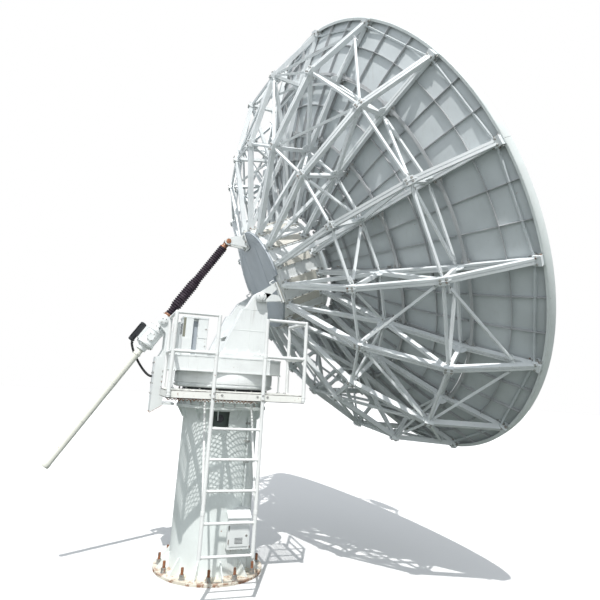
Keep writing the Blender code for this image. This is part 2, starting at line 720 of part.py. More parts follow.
def add_reflector(mats, tilt):
    seat = (HUB_AHEAD, 0, HUB_ABOVE)
    corners = []
    half = atan2(0.06, HUB_R)
    for k in range(RIBS):
        angle = radians(RIB_CLOCK + 360 / RIBS * k)
        radius = hypot(HUB_R, 0.06)
        corners += [(-radius * cos(angle + d), radius * sin(angle + d)) for d in (-half, half)]
    add("hub_drum", prism(corners, "X", 0, HUB_DEPTH), mats["white"], tilt, seat)
    cover = prism(circle((0, 0), COVER_R, 48), "X", -COVER_T, -GAP)
    notches = [box((-0.1, -0.75, -0.41), (0.1, -0.545, -0.06)),
               box((-0.1, 0.545, -0.41), (0.1, 0.75, -0.06))]
    add("hub_cover", cut(cover, notches), mats["grey"], tilt, seat)
    add_hub_fittings(mats, tilt, seat)
    truss = rib_mesh()
    for k in range(RIBS):
        turn = radians(90 - RIB_CLOCK - 360 / RIBS * k)
        add(f"rib_{k + 1:02d}", truss if k == 0 else truss.copy(), mats["frame"], tilt, seat,
            (turn, 0, 0))
    for k in range(4):
        add(f"reflector_quarter_{k + 1}", shell_quadrant(4 * k), mats["panel"], tilt, seat,
            smooth=True)
    add_bracing(mats, tilt, seat)
    add_feed(mats, tilt, seat)


def add_hub_fittings(mats, tilt, seat):
    """The lugs on the elevation pins, and the bracket for the jack's rod."""
    pivot = (-HUB_AHEAD, -HUB_ABOVE)
    hole = circle(pivot, PIN_HOLE_FLAT_R / cos(pi / 16), 16, pi / 16)
    hole.reverse()
    eye = circle(pivot, LUG_EYE_R, 8, radians(80), radians(200))
    outline = [(-GAP, h) for h in LUG_H] + eye
    for name, side in (("elevation_lug_near", -1), ("elevation_lug_far", 1)):
        low, high = sorted((side * LUG_Y, side * (LUG_Y + LUG_T)))
        plate = prism(outline, "Y", low, high, hole)
        low, high = sorted(side * y for y in LUG_ROOT_Y)
        root = box((-LUG_ROOT_T, low, LUG_ROOT_H[0]), (-GAP, high, LUG_ROOT_H[1]))
        add(name, fuse([plate, root]), mats["white"], tilt, seat)
    back = -COVER_T - GAP
    base = box((back - 0.02, -BRACKET_HALF, BRACKET_H[0]), (back, BRACKET_HALF, BRACKET_H[1]))
    eye = circle(ROD_PIN, ROD_EYE_R, 8, radians(75), radians(210))
    outline = [(back - 0.01, BRACKET_H[0] + 0.02), (back - 0.01, BRACKET_H[1] - 0.01)] + eye
    plates = [prism(outline, "Y", low, low + CHEEK_T) for low in (-CHEEK_Y - CHEEK_T, CHEEK_Y)]
    add("rod_bracket", fuse([base] + plates), mats["white"], tilt, seat)


def add_feed(mats, tilt, seat):
    """Feed plate and horn, and the subreflector on its four struts."""
    quarter_turn = Matrix.Rotation(pi / 2, 4, "Y")
    back = HUB_DEPTH + GAP
    foot = FEED_PLATE_FRONT + GAP
    plate = turned([(0, back), (FEED_PLATE_R, back), (FEED_PLATE_R, FEED_PLATE_FRONT),
                    (0, FEED_PLATE_FRONT)], 48)
    horn = turned([(0, foot), (0.30, foot), (0.30, 0.66), (HORN_R, 0.98), (HORN_R, 1.42),
                   (HORN_MOUTH_R, HORN_END), (0, HORN_END)], 24)
    for name, mesh, mat in (("feed_plate", plate, "panel"), ("feed_horn", horn, "white")):
        mesh.transform(quarter_turn)
        add(name, mesh, mats[mat], tilt, seat, smooth=True)
    sub = turned([(0, SUB_FRONT), (0.20, 2.325), (SUB_R, 2.42), (SUB_R, 2.45), (0.14, SUB_BACK),
                  (0, SUB_BACK)], 24)
    sub.transform(quarter_turn)
    pieces = [sub]
    facet = pi / RIBS / FACETS_PER_BAY
    squeeze = cos(facet)
    for k in range(4):
        angle = radians(RIB_CLOCK + 360 / RIBS * (4 * k + 2.5))
        low, high = LEG_FOOT_R - LEG_PAD_HALF, LEG_FOOT_R + LEG_PAD_HALF
        foot = [(shell_front(low) + 2 * GAP, low * squeeze), (shell_front(high) + 2 * GAP, high * squeeze),
                (shell_front(high) + LEG_PAD_HALF, high * squeeze),
                (shell_front(low) + LEG_PAD_HALF, low * squeeze)]
        pad = prism(foot, "Y", -0.03, 0.03)
        leg = bar((shell_front(LEG_FOOT_R) + 0.03, 0, LEG_FOOT_R * squeeze), LEG_HEAD, LEG_R)
        for mesh in (pad, leg):
            mesh.transform(Matrix.Rotation(pi / 2 - angle, 4, "X"))
            pieces.append(mesh)
    add("subreflector", fuse(pieces), mats["white"], tilt, seat)


def add_jack(mats, lean):
    """Gearbox, motor and cover tube, with local Z along the screw."""
    case = turned([(BORE_R, -0.42), (0.06, -0.42), (0.06, -0.37), (0.096, -0.36),
                   (GEARBOX_R, -0.33), (GEARBOX_R, -0.10), (0.08, -0.08), (0.075, 0.06),
                   (0.06, 0.10), (BORE_R, 0.10)], 24, bored=True)
    stubs = [bar((0, side * 0.06, 0), (0, side * STUB_END, 0), STUB_R, 12) for side in (-1, 1)]
    heads = [bar((0, side * (STUB_END - 0.02), 0), (0, side * STUB_END, 0), 0.045, 12)
             for side in (-1, 1)]
    adaptor = box((ADAPTOR_X[0], -0.06, ADAPTOR_Z[0]), (ADAPTOR_X[1], 0.06, ADAPTOR_Z[1]))
    add("jack_gearbox", fuse([case, adaptor] + stubs + heads), mats["white"], lean)
    middle = ADAPTOR_X[0] - GAP - MOTOR_R * cos(pi / 12)
    motor = bar((middle, MOTOR_Y, MOTOR_Z[0]), (middle, MOTOR_Y, MOTOR_Z[1]), MOTOR_R, 12, pi / 12)
    foot = box((middle, 0.005, MOTOR_FOOT_Z[0]), (ADAPTOR_X[0] - GAP, 0.055, MOTOR_FOOT_Z[1]))
    add("jack_motor", fuse([motor, foot]), mats["black"], lean)
    top = -0.42 - GAP
    cover = turned([(0, TUBE_COVER_END), (TUBE_COVER_R, TUBE_COVER_END), (TUBE_COVER_R, top),
                    (TUBE_COVER_INNER_R, top), (TUBE_COVER_INNER_R, TUBE_COVER_END + 0.02),
                    (0, TUBE_COVER_END + 0.02)], 16)
    add("screw_cover_tube", cover, mats["cream"], lean, smooth=True)
    bellows_end = JACK_LENGTH - 0.09
    inner = BELLOWS_INNER_R
    bellows = turned([(inner, 0.10 + GAP), (0.055, 0.10 + GAP), (0.055, 0.20), (0.074, 0.27),
                      (0.074, 0.60), (0.060, 0.70), (0.060, bellows_end), (inner, bellows_end)],
                     16, bored=True)
    add("screw_bellows", bellows, mats["rubber"], lean, smooth=True)


def add_screw(mats, lean):
    rod = bar((0, 0, SCREW_TAIL), (0, 0, JACK_LENGTH), SCREW_R, 12)
    collar = bar((0, 0, JACK_LENGTH - 0.09 + GAP), (0, 0, JACK_LENGTH - 0.03), ROD_COLLAR_R, 12)
    eye = bar((0, -0.038, JACK_LENGTH), (0, 0.038, JACK_LENGTH), ROD_EYE_R, 16)
    add("jack_screw", fuse([rod, collar, eye]), mats["rust"], lean)


def smooth_route(points, spacing):
    """Points every so far along a Catmull-Rom curve through the route."""
    spots = [Vector(p) for p in points]
    padded = [2 * spots[0] - spots[1]] + spots + [2 * spots[-1] - spots[-2]]
    fine = []
    for a, b, c, d in zip(padded, padded[1:], padded[2:], padded[3:]):
        steps = max(1, round((c - b).length / spacing))
        for k in range(steps):
            t = k / steps
            fine.append(0.5 * (2 * b + (c - a) * t + (2 * a - 5 * b + 4 * c - d) * t ** 2
                               + (3 * b - a - 3 * c + d) * t ** 3))
    return fine + [spots[-1]]


CABLE_ROUTE = ((-1.1644, 0.045, 2.4848), (-1.1632, 0.0479, 2.4732), (-1.1547, 0.0542, 2.4414),
               (-1.1348, 0.0625, 2.3907), (-1.1069, 0.0698, 2.3358), (-1.0732, 0.0759, 2.28),
               (-1.0358, 0.0807, 2.2264), (-0.9971, 0.0842, 2.1783), (-0.959, 0.0862, 2.1388),
               (-0.924, 0.0867, 2.1112), (-0.894, 0.0854, 2.0986), (-0.8765, 0.085, 2.098))
CABLE_R = 0.014


def add_cable(mats):
    points = smooth_route(CABLE_ROUTE, 2.4 * CABLE_R)
    curve = bpy.data.curves.new("motor_cable", "CURVE")
    curve.dimensions = "3D"
    curve.bevel_depth = CABLE_R
    curve.bevel_resolution = 2
    curve.use_fill_caps = True
    spline = curve.splines.new("POLY")
    spline.points.add(len(points) - 1)
    for spot, point in zip(spline.points, points):
        spot.co = (*point, 1)
    curve.materials.append(mats["rubber"])
    ob = bpy.data.objects.new("motor_cable", curve)
    bpy.context.scene.collection.objects.link(ob)


def main():
    clear_scene()
    mats = {
        "white": material("white_paint", (0.86, 0.88, 0.87), 0.45),
        "frame": material("frame_paint", (0.72, 0.74, 0.75), 0.5),
        "panel": material("panel_paint", (0.55, 0.60, 0.58), 0.5),
        "grey": material("grey_paint", (0.42, 0.46, 0.49), 0.5),
        "cream": material("cream_paint", (0.85, 0.85, 0.78), 0.5),
        "dark": material("dark_steel", (0.10, 0.10, 0.11), 0.5, 0.6),
        "black": material("black_paint", (0.03, 0.03, 0.04), 0.4),
        "rubber": material("rubber", (0.06, 0.04, 0.06), 0.6),
        "rust": material("greased_steel", (0.35, 0.22, 0.16), 0.5, 0.7),
    }
    turret = empty("turret_axis", (0, 0, 0))
    tilt = empty("elevation_axis", (AXIS_X, 0, AXIS_Z), (0, -ELEVATION, 0))
    lean = empty("jack_axis", (TRUNNION[0], 0, TRUNNION[1]), (0, JACK_LEAN, 0))
    add_pedestal(mats)
    add_turret(mats, turret)
    add_platform(mats, turret)
    add_jack_arm(mats, turret)
    add_reflector(mats, tilt)
    add_jack(mats, lean)
    add_screw(mats, lean)
    add_cable(mats)


main()
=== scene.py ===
"""Looks of an earth station antenna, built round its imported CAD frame.

Every length is in metres, in the CAD's frame: +Z up, +X the way the reflector points.
Pieces of the dish are made in the hub's own frame (along its axis, across, up), ribs in a
frame of their own (along the axis, across, outwards), and moved into place afterwards."""
from math import acos, atan2, ceil, cos, hypot, pi, radians, sin

import bmesh
import bpy
from mathutils import Matrix, Vector


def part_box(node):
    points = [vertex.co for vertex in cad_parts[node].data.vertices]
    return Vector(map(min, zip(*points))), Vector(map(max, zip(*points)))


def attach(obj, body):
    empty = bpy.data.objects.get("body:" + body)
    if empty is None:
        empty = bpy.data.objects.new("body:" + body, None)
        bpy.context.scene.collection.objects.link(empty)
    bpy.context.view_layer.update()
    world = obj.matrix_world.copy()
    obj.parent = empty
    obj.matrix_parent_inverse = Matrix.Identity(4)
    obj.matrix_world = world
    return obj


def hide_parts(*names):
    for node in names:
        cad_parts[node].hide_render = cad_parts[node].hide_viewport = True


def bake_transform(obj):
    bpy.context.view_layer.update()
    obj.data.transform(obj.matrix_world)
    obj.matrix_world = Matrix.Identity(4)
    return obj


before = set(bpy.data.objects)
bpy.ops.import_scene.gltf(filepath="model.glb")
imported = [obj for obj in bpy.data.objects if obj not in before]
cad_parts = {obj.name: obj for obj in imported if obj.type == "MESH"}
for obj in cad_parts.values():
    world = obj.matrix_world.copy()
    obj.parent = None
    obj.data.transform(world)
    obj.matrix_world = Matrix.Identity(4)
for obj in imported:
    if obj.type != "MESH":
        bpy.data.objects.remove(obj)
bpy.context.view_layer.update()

# Driving dimensions, as in the CAD
ELEVATION = radians(25.12)
AXIS = Vector((0.26, 0, 3.105))
SEAT = Vector((0.275, 0, 0.243))
RIBS = 16
RIB_CLOCK = radians(5.43)
BAY = 2 * pi / RIBS
FOCUS = 2.1
APEX = 0.665
HUB_R = 0.69
HUB_DEPTH = 0.60
RIM_R = 3.085
REAR = ((0.70, 0.034), (1.79, 0.341), (2.586, 0.901), (3.04, 1.71))
FRONT = ((0.70, 0.56), (1.633, 0.823), (2.397, 1.255), (3.03, 1.69))
WEB_START = (0.712, 0.046)
REAR_CHORD_HALF = 0.030
FRONT_CHORD_HALF = 0.028
WEB_HALF = 0.021
BRACE_HALF = 0.0135
RIM_BAR_HALF = 0.011
TRUNNION = Vector((-0.83, 0, 2.757))
ROD_PIN = (-0.266, 0.627)
CABLE_R = 0.014
MOTOR_Y = 0.04
MOTOR_R = 0.042
ADAPTOR_END = -0.124
CABLE_STEP = 0.02
CABLE_ROUTE = ((-1.1644, 0.045, 2.4848), (-1.1632, 0.0479, 2.4732), (-1.1547, 0.0542, 2.4414),
               (-1.1348, 0.0625, 2.3907), (-1.1069, 0.0698, 2.3358), (-1.0732, 0.0759, 2.28),
               (-1.0358, 0.0807, 2.2264), (-0.9971, 0.0842, 2.1783), (-0.959, 0.0862, 2.1388),
               (-0.924, 0.0867, 2.1112), (-0.894, 0.0854, 2.0986), (-0.8765, 0.085, 2.098))

DISH = (Matrix.Translation(AXIS) @ Matrix.Rotation(-ELEVATION, 4, "Y")
        @ Matrix.Translation(SEAT))
ROD_PIN_WORLD = DISH @ Vector((ROD_PIN[0], 0, ROD_PIN[1]))
JACK_RUN = ROD_PIN_WORLD - TRUNNION
JACK_LENGTH = JACK_RUN.length
JACK = Matrix.Translation(TRUNNION) @ Matrix.Rotation(atan2(JACK_RUN.x, JACK_RUN.z), 4, "Y")
IDENTITY = Matrix.Identity(4)
SIDE_ON = Matrix(((1, 0, 0, 0), (0, 0, -1, 0), (0, 1, 0, 0), (0, 0, 0, 1)))
REARWARDS = DISH.to_3x3() @ Vector((-1, 0, 0))
SLAB_FACES = ((0, 1, 2, 3), (7, 6, 5, 4), (0, 4, 5, 1), (1, 5, 6, 2), (2, 6, 7, 3), (3, 7, 4, 0))


# Camera, light and stage
CAMERA_AT = Vector((-1.363, -6.538, 2.103))
CAMERA_YAW = radians(18.305)
CAMERA_PITCH = radians(14.835)
CAMERA_ROLL = radians(-3.179)
CAMERA_LENS = 30.41
OPTICAL_CENTRE = (290.86, 248.92)
FRAME_PIXELS = 600


def add_camera():
    """A camera that sees the antenna as the photograph does."""
    forward = Vector((sin(CAMERA_YAW) * cos(CAMERA_PITCH), cos(CAMERA_YAW) * cos(CAMERA_PITCH),
                      sin(CAMERA_PITCH)))
    level = Vector((cos(CAMERA_YAW), -sin(CAMERA_YAW), 0))
    down = forward.cross(level)
    right = level * cos(CAMERA_ROLL) + down * sin(CAMERA_ROLL)
    below = down * cos(CAMERA_ROLL) - level * sin(CAMERA_ROLL)
    data = bpy.data.cameras.new("camera")
    data.lens = CAMERA_LENS
    data.sensor_width = 36
    data.shift_x = 0.5 - OPTICAL_CENTRE[0] / FRAME_PIXELS
    data.shift_y = OPTICAL_CENTRE[1] / FRAME_PIXELS - 0.5
    data.clip_end = 200
    camera = bpy.data.objects.new("camera", data)
    bpy.context.scene.collection.objects.link(camera)
    turn = Matrix((right, -below, -forward)).transposed()
    camera.matrix_world = Matrix.Translation(CAMERA_AT) @ turn.to_4x4()
    bpy.context.scene.camera = camera


HORIZON = 1.35
ZENITH = 0.50
SUN_ENERGY = 3.6
SUN_FROM = (-0.22, -0.50, 0.84)


def add_light():
    """Soft even light with one clear key light, before a white backdrop."""
    world = bpy.data.worlds.new("studio")
    world.use_nodes = True
    nodes, links = world.node_tree.nodes, world.node_tree.links
    soft = nodes["Background"]
    soft.inputs["Color"].default_value = (0.90, 0.95, 1.0, 1)
    way = nodes.new("ShaderNodeTexCoord")
    parts = nodes.new("ShaderNodeSeparateXYZ")
    glow = nodes.new("ShaderNodeMapRange")
    glow.inputs["To Min"].default_value = HORIZON
    glow.inputs["To Max"].default_value = ZENITH
    links.new(way.outputs["Generated"], parts.inputs[0])
    links.new(parts.outputs["Z"], glow.inputs["Value"])
    links.new(glow.outputs[0], soft.inputs["Strength"])
    backdrop = nodes.new("ShaderNodeBackground")
    backdrop.inputs["Color"].default_value = (1, 1, 1, 1)
    seen = nodes.new("ShaderNodeLightPath")
    chosen = nodes.new("ShaderNodeMixShader")
    links.new(seen.outputs["Is Camera Ray"], chosen.inputs[0])
    links.new(soft.outputs[0], chosen.inputs[1])
    links.new(backdrop.outputs[0], chosen.inputs[2])
    links.new(chosen.outputs[0], nodes["World Output"].inputs["Surface"])
    bpy.context.scene.world = world
    bpy.context.scene.view_settings.view_transform = "Standard"
    lamp = bpy.data.lights.new("key", "SUN")
    lamp.energy = SUN_ENERGY
    lamp.angle = radians(0.6)
    lamp.color = (1.0, 0.985, 0.96)
    key = bpy.data.objects.new("key", lamp)
    bpy.context.scene.collection.objects.link(key)
    key.rotation_euler = Vector(SUN_FROM).to_track_quat("Z", "Y").to_euler()


FLOOR_BOUNCE = (0.13, 0.145, 0.13, 1)
FLOOR_SEEN = (0.80, 0.80, 0.80, 1)


def add_floor():
    """Pale as the camera sees it, with the darker bounce of open ground."""
    mesh = bpy.data.meshes.new("floor")
    half = 60
    mesh.from_pydata([(-half, -half, 0), (half, -half, 0), (half, half, 0), (-half, half, 0)], [],
                     [(0, 1, 2, 3)])
    mat = bpy.data.materials.new("floor")
    mat.use_nodes = True
    nodes, links = mat.node_tree.nodes, mat.node_tree.links
    shader = nodes["Principled BSDF"]
    shader.inputs["Roughness"].default_value = 0.9
    seen = nodes.new("ShaderNodeLightPath")
    colour = nodes.new("ShaderNodeMixRGB")
    colour.inputs["Color1"].default_value = FLOOR_BOUNCE
    colour.inputs["Color2"].default_value = FLOOR_SEEN
    links.new(seen.outputs["Is Camera Ray"], colour.inputs["Fac"])
    links.new(colour.outputs[0], shader.inputs["Base Color"])
    mesh.materials.append(mat)
    floor = bpy.data.objects.new("floor", mesh)
    bpy.context.scene.collection.objects.link(floor)


# Materials
class Tree:
    """A material's node tree, with short calls for the nodes used here."""

    def __init__(self, name):
        self.mat = bpy.data.materials.new(name)
        self.mat.use_nodes = True
        self.nodes = self.mat.node_tree.nodes
        self.links = self.mat.node_tree.links
        self.shader = self.nodes["Principled BSDF"]
        self.place = self.nodes.new("ShaderNodeTexCoord").outputs["Object"]

    def put(self, value, socket):
        if isinstance(value, bpy.types.NodeSocket):
            self.links.new(value, socket)
        elif isinstance(value, tuple) and len(value) == 3 and socket.type == "RGBA":
            socket.default_value = (*value, 1)
        else:
            socket.default_value = value

    def set(self, socket, value):
        self.put(value, self.shader.inputs[socket])

    def stretched(self, scale):
        node = self.nodes.new("ShaderNodeMapping")
        self.links.new(self.place, node.inputs["Vector"])
        node.inputs["Scale"].default_value = scale
        return node.outputs["Vector"]

    def noise(self, scale, detail=4.0, rough=0.55, stretch=None):
        node = self.nodes.new("ShaderNodeTexNoise")
        self.links.new(self.stretched(stretch) if stretch else self.place, node.inputs["Vector"])
        node.inputs["Scale"].default_value = scale
        node.inputs["Detail"].default_value = detail
        node.inputs["Roughness"].default_value = rough
        return node.outputs["Fac"]

    def ramp(self, value, low, high, start=0.0, end=1.0):
        node = self.nodes.new("ShaderNodeMapRange")
        node.interpolation_type = "SMOOTHSTEP"
        self.links.new(value, node.inputs["Value"])
        node.inputs["From Min"].default_value = low
        node.inputs["From Max"].default_value = high
        node.inputs["To Min"].default_value = start
        node.inputs["To Max"].default_value = end
        return node.outputs["Result"]

    def sum(self, operation, a, b):
        node = self.nodes.new("ShaderNodeMath")
        node.operation = operation
        self.put(a, node.inputs[0])
        self.put(b, node.inputs[1])
        return node.outputs["Value"]

    def mix(self, share, a, b):
        node = self.nodes.new("ShaderNodeMix")
        node.data_type = "RGBA"
        colour_a, colour_b = [i for i in node.inputs if i.type == "RGBA"]
        self.put(share, node.inputs["Factor"])
        self.put(a, colour_a)
        self.put(b, colour_b)
        return next(o for o in node.outputs if o.type == "RGBA")

    def height(self, axis="Z"):
        node = self.nodes.new("ShaderNodeSeparateXYZ")
        self.links.new(self.place, node.inputs["Vector"])
        return node.outputs[axis]

    def bump(self, height, distance, strength=1.0):
        node = self.nodes.new("ShaderNodeBump")
        node.inputs["Strength"].default_value = strength
        node.inputs["Distance"].default_value = distance
        self.put(height, node.inputs["Height"])
        self.set("Normal", node.outputs["Normal"])


RUST_DARK = (0.12, 0.045, 0.022)
RUST_LIGHT = (0.42, 0.17, 0.07)


def painted(name, colour, rough=0.42, rust=0.0, dirt=0.2, grime=(0.33, 0.31, 0.27)):
    """Old gloss paint on steel: mottled, dirt run down it, and rust where it has chipped.

    rust is the share of the surface that has rusted, about; dirt is how dark the runs are."""
    t = Tree(name)
    faded = tuple(0.90 * c for c in colour)
    body = t.mix(t.ramp(t.noise(2.3, 5), 0.35, 0.7), colour, faded)
    runs = t.sum("MULTIPLY", t.ramp(t.noise(1.0, 5, 0.6, (26, 26, 2.2)), 0.52, 0.78),
                 t.ramp(t.noise(1.7, 3), 0.42, 0.68))
    specks = t.ramp(t.noise(60, 3), 0.64, 0.74, 0, 0.5)
    body = t.mix(t.sum("MULTIPLY", t.sum("MAXIMUM", runs, specks), dirt), body, grime)
    edge = 0.70 - 0.35 * rust
    spots = t.sum("MULTIPLY", t.ramp(t.noise(34, 7, 0.68), edge - 0.05, edge + 0.01),
                  t.ramp(t.noise(2.9, 3), 0.52 - 0.3 * rust, 0.66 - 0.3 * rust))
    stain = t.sum("MULTIPLY", t.ramp(t.noise(7, 5, 0.6, (3.2, 3.2, 0.7)), 0.62 - 0.2 * rust, 0.85),
                  min(1.0, 4 * rust))
    rusty = t.mix(t.noise(90, 4), RUST_DARK, RUST_LIGHT)
    body = t.mix(t.sum("MULTIPLY", stain, 0.55), body, RUST_LIGHT)
    t.set("Base Color", t.mix(spots, body, rusty))
    t.set("Roughness", t.sum("ADD", t.ramp(t.noise(5, 4), 0.3, 0.7, rough - 0.05, rough + 0.10),
                             t.sum("MULTIPLY", spots, 0.4)))
    t.bump(t.sum("ADD", t.sum("MULTIPLY", t.noise(240, 2), 0.25),
                 t.sum("MULTIPLY", spots, 1.0)), 0.0012, 0.5)
    t.shader.inputs["Coat Weight"].default_value = 0.12
    t.shader.inputs["Coat Roughness"].default_value = 0.25
    return t.mat


def metal(name, light, dark, rough=0.45, metallic=0.85, fine=70, rust=0.0):
    """Bare or plated steel with a mottled face, and rust over a share of it."""
    t = Tree(name)
    face = t.mix(t.ramp(t.noise(fine, 5, 0.6), 0.32, 0.68), dark, light)
    edge = 0.66 - 0.4 * rust
    spots = t.ramp(t.noise(40, 6, 0.65), edge - 0.06, edge + 0.03) if rust else 0.0
    if rust:
        face = t.mix(spots, face, t.mix(t.noise(120, 4), RUST_DARK, RUST_LIGHT))
        t.set("Metallic", t.sum("SUBTRACT", metallic, t.sum("MULTIPLY", spots, metallic)))
    else:
        t.shader.inputs["Metallic"].default_value = metallic
    t.set("Base Color", face)
    t.set("Roughness", t.ramp(t.noise(fine * 1.7, 3), 0.3, 0.7, rough - 0.1, rough + 0.2))
    t.bump(t.noise(fine * 4, 3), 0.0008, 0.5)
    return t.mat


def rubbery(name, colour, dust, rough=0.62):
    """Weathered rubber: chalky, with dust in random patches and specks."""
    t = Tree(name)
    body = t.mix(t.ramp(t.noise(14, 6, 0.6), 0.4, 0.75), colour, dust)
    t.set("Base Color", t.mix(t.ramp(t.noise(150, 3), 0.62, 0.75, 0, 0.35), body, dust))
    t.set("Roughness", t.ramp(t.noise(9, 4), 0.3, 0.7, rough - 0.08, rough + 0.15))
    t.bump(t.noise(320, 3), 0.0008, 0.6)
    return t.mat


def flange_paint():
    """Cream paint on the base flange, dirty and rusting in patches, most near its foot."""
    t = Tree("flange_paint")
    colour = t.mix(t.ramp(t.noise(6, 5), 0.35, 0.7), (0.80, 0.76, 0.66), (0.62, 0.56, 0.46))
    worn = t.ramp(t.noise(11, 8, 0.65), 0.50, 0.58)
    low = t.ramp(t.height(), 0.0, 0.05, 1.0, 0.45)
    share = t.sum("MULTIPLY", worn, low)
    rusty = t.mix(t.noise(60, 5), RUST_DARK, RUST_LIGHT)
    t.set("Base Color", t.mix(share, colour, rusty))
    t.set("Roughness", t.ramp(share, 0, 1, 0.5, 0.9))
    t.bump(t.sum("ADD", t.noise(160, 4), share), 0.0015, 0.6)
    return t.mat


def make_materials():
    return {
        "white": painted("paint_white", (0.79, 0.815, 0.81), 0.38, 0.02, 0.34),
        "rail": painted("paint_rails", (0.82, 0.83, 0.82), 0.40, 0.05, 0.30),
        "deck": painted("paint_deck", (0.84, 0.84, 0.80), 0.5, 0.16, 0.4),
        "mesh_edge": metal("rusty_mesh", (0.75, 0.72, 0.68), (0.45, 0.40, 0.36), 0.6, 0.2, 50, 0.45),
        "tube": painted("paint_tube", (0.77, 0.815, 0.80), 0.36, 0.03, 0.30),
        "frame": painted("paint_truss", (0.80, 0.83, 0.84), 0.40, 0.04, 0.30),
        "panel": painted("paint_panel_back", (0.60, 0.64, 0.655), 0.45, 0.0, 0.22),
        # Stiffener grey is partly the stiffeners' own paint and partly painted shade, darkened to stand
        # for the shadow lines along them.
        "stiffener": painted("paint_stiffener_with_painted_shade", (0.46, 0.47, 0.48), 0.5, 0.07, 0.3),
        "face": painted("paint_reflector", (0.86, 0.88, 0.87), 0.55, 0.0, 0.16),
        "rim": painted("paint_rim", (0.80, 0.84, 0.83), 0.42, 0.02, 0.3),
        "hub": painted("paint_hub", (0.78, 0.80, 0.80), 0.45, 0.03, 0.3),
        "post": painted("paint_post", (0.62, 0.60, 0.54), 0.5, 0.10, 0.4),
        "cover": painted("paint_hub_cover", (0.38, 0.42, 0.46), 0.42, 0.01, 0.22),
        "cream": painted("paint_cream", (0.72, 0.72, 0.65), 0.4, 0.04, 0.5),
        "olive": painted("paint_olive", (0.22, 0.22, 0.17), 0.5, 0.02, 0.2),
        # Recess paint is painted shade: the dark of a shadowed opening or gap, put into the colour.
        "recess": painted("recess_painted_shade", (0.14, 0.18, 0.16), 0.6, 0.02, 0.3),
        "flange": flange_paint(),
        "black": painted("paint_black", (0.022, 0.024, 0.028), 0.35, 0.0, 0.10),
        "dark": metal("oiled_steel", (0.10, 0.10, 0.11), (0.04, 0.04, 0.045), 0.45, 0.6),
        "zinc": metal("zinc_plate", (0.62, 0.62, 0.60), (0.36, 0.36, 0.35), 0.4, 0.9, 90, 0.08),
        "anchor": metal("anchor_steel", (0.20, 0.15, 0.13), (0.07, 0.05, 0.05), 0.6, 0.5, 60, 0.5),
        "screw": metal("greased_screw", (0.34, 0.20, 0.13), (0.10, 0.05, 0.04), 0.42, 0.6, 60, 0.3),
        "copper": metal("bronze_bush", (0.55, 0.30, 0.18), (0.30, 0.14, 0.09), 0.4, 0.9, 60, 0.1),
        "rubber": rubbery("bellows_rubber", (0.030, 0.018, 0.030), (0.085, 0.065, 0.080)),
        "cable": rubbery("cable_sheath", (0.014, 0.014, 0.016), (0.05, 0.05, 0.05), 0.5),
        "glazed": painted("feed_window", (0.88, 0.86, 0.80), 0.3, 0.0, 0.1),
    }


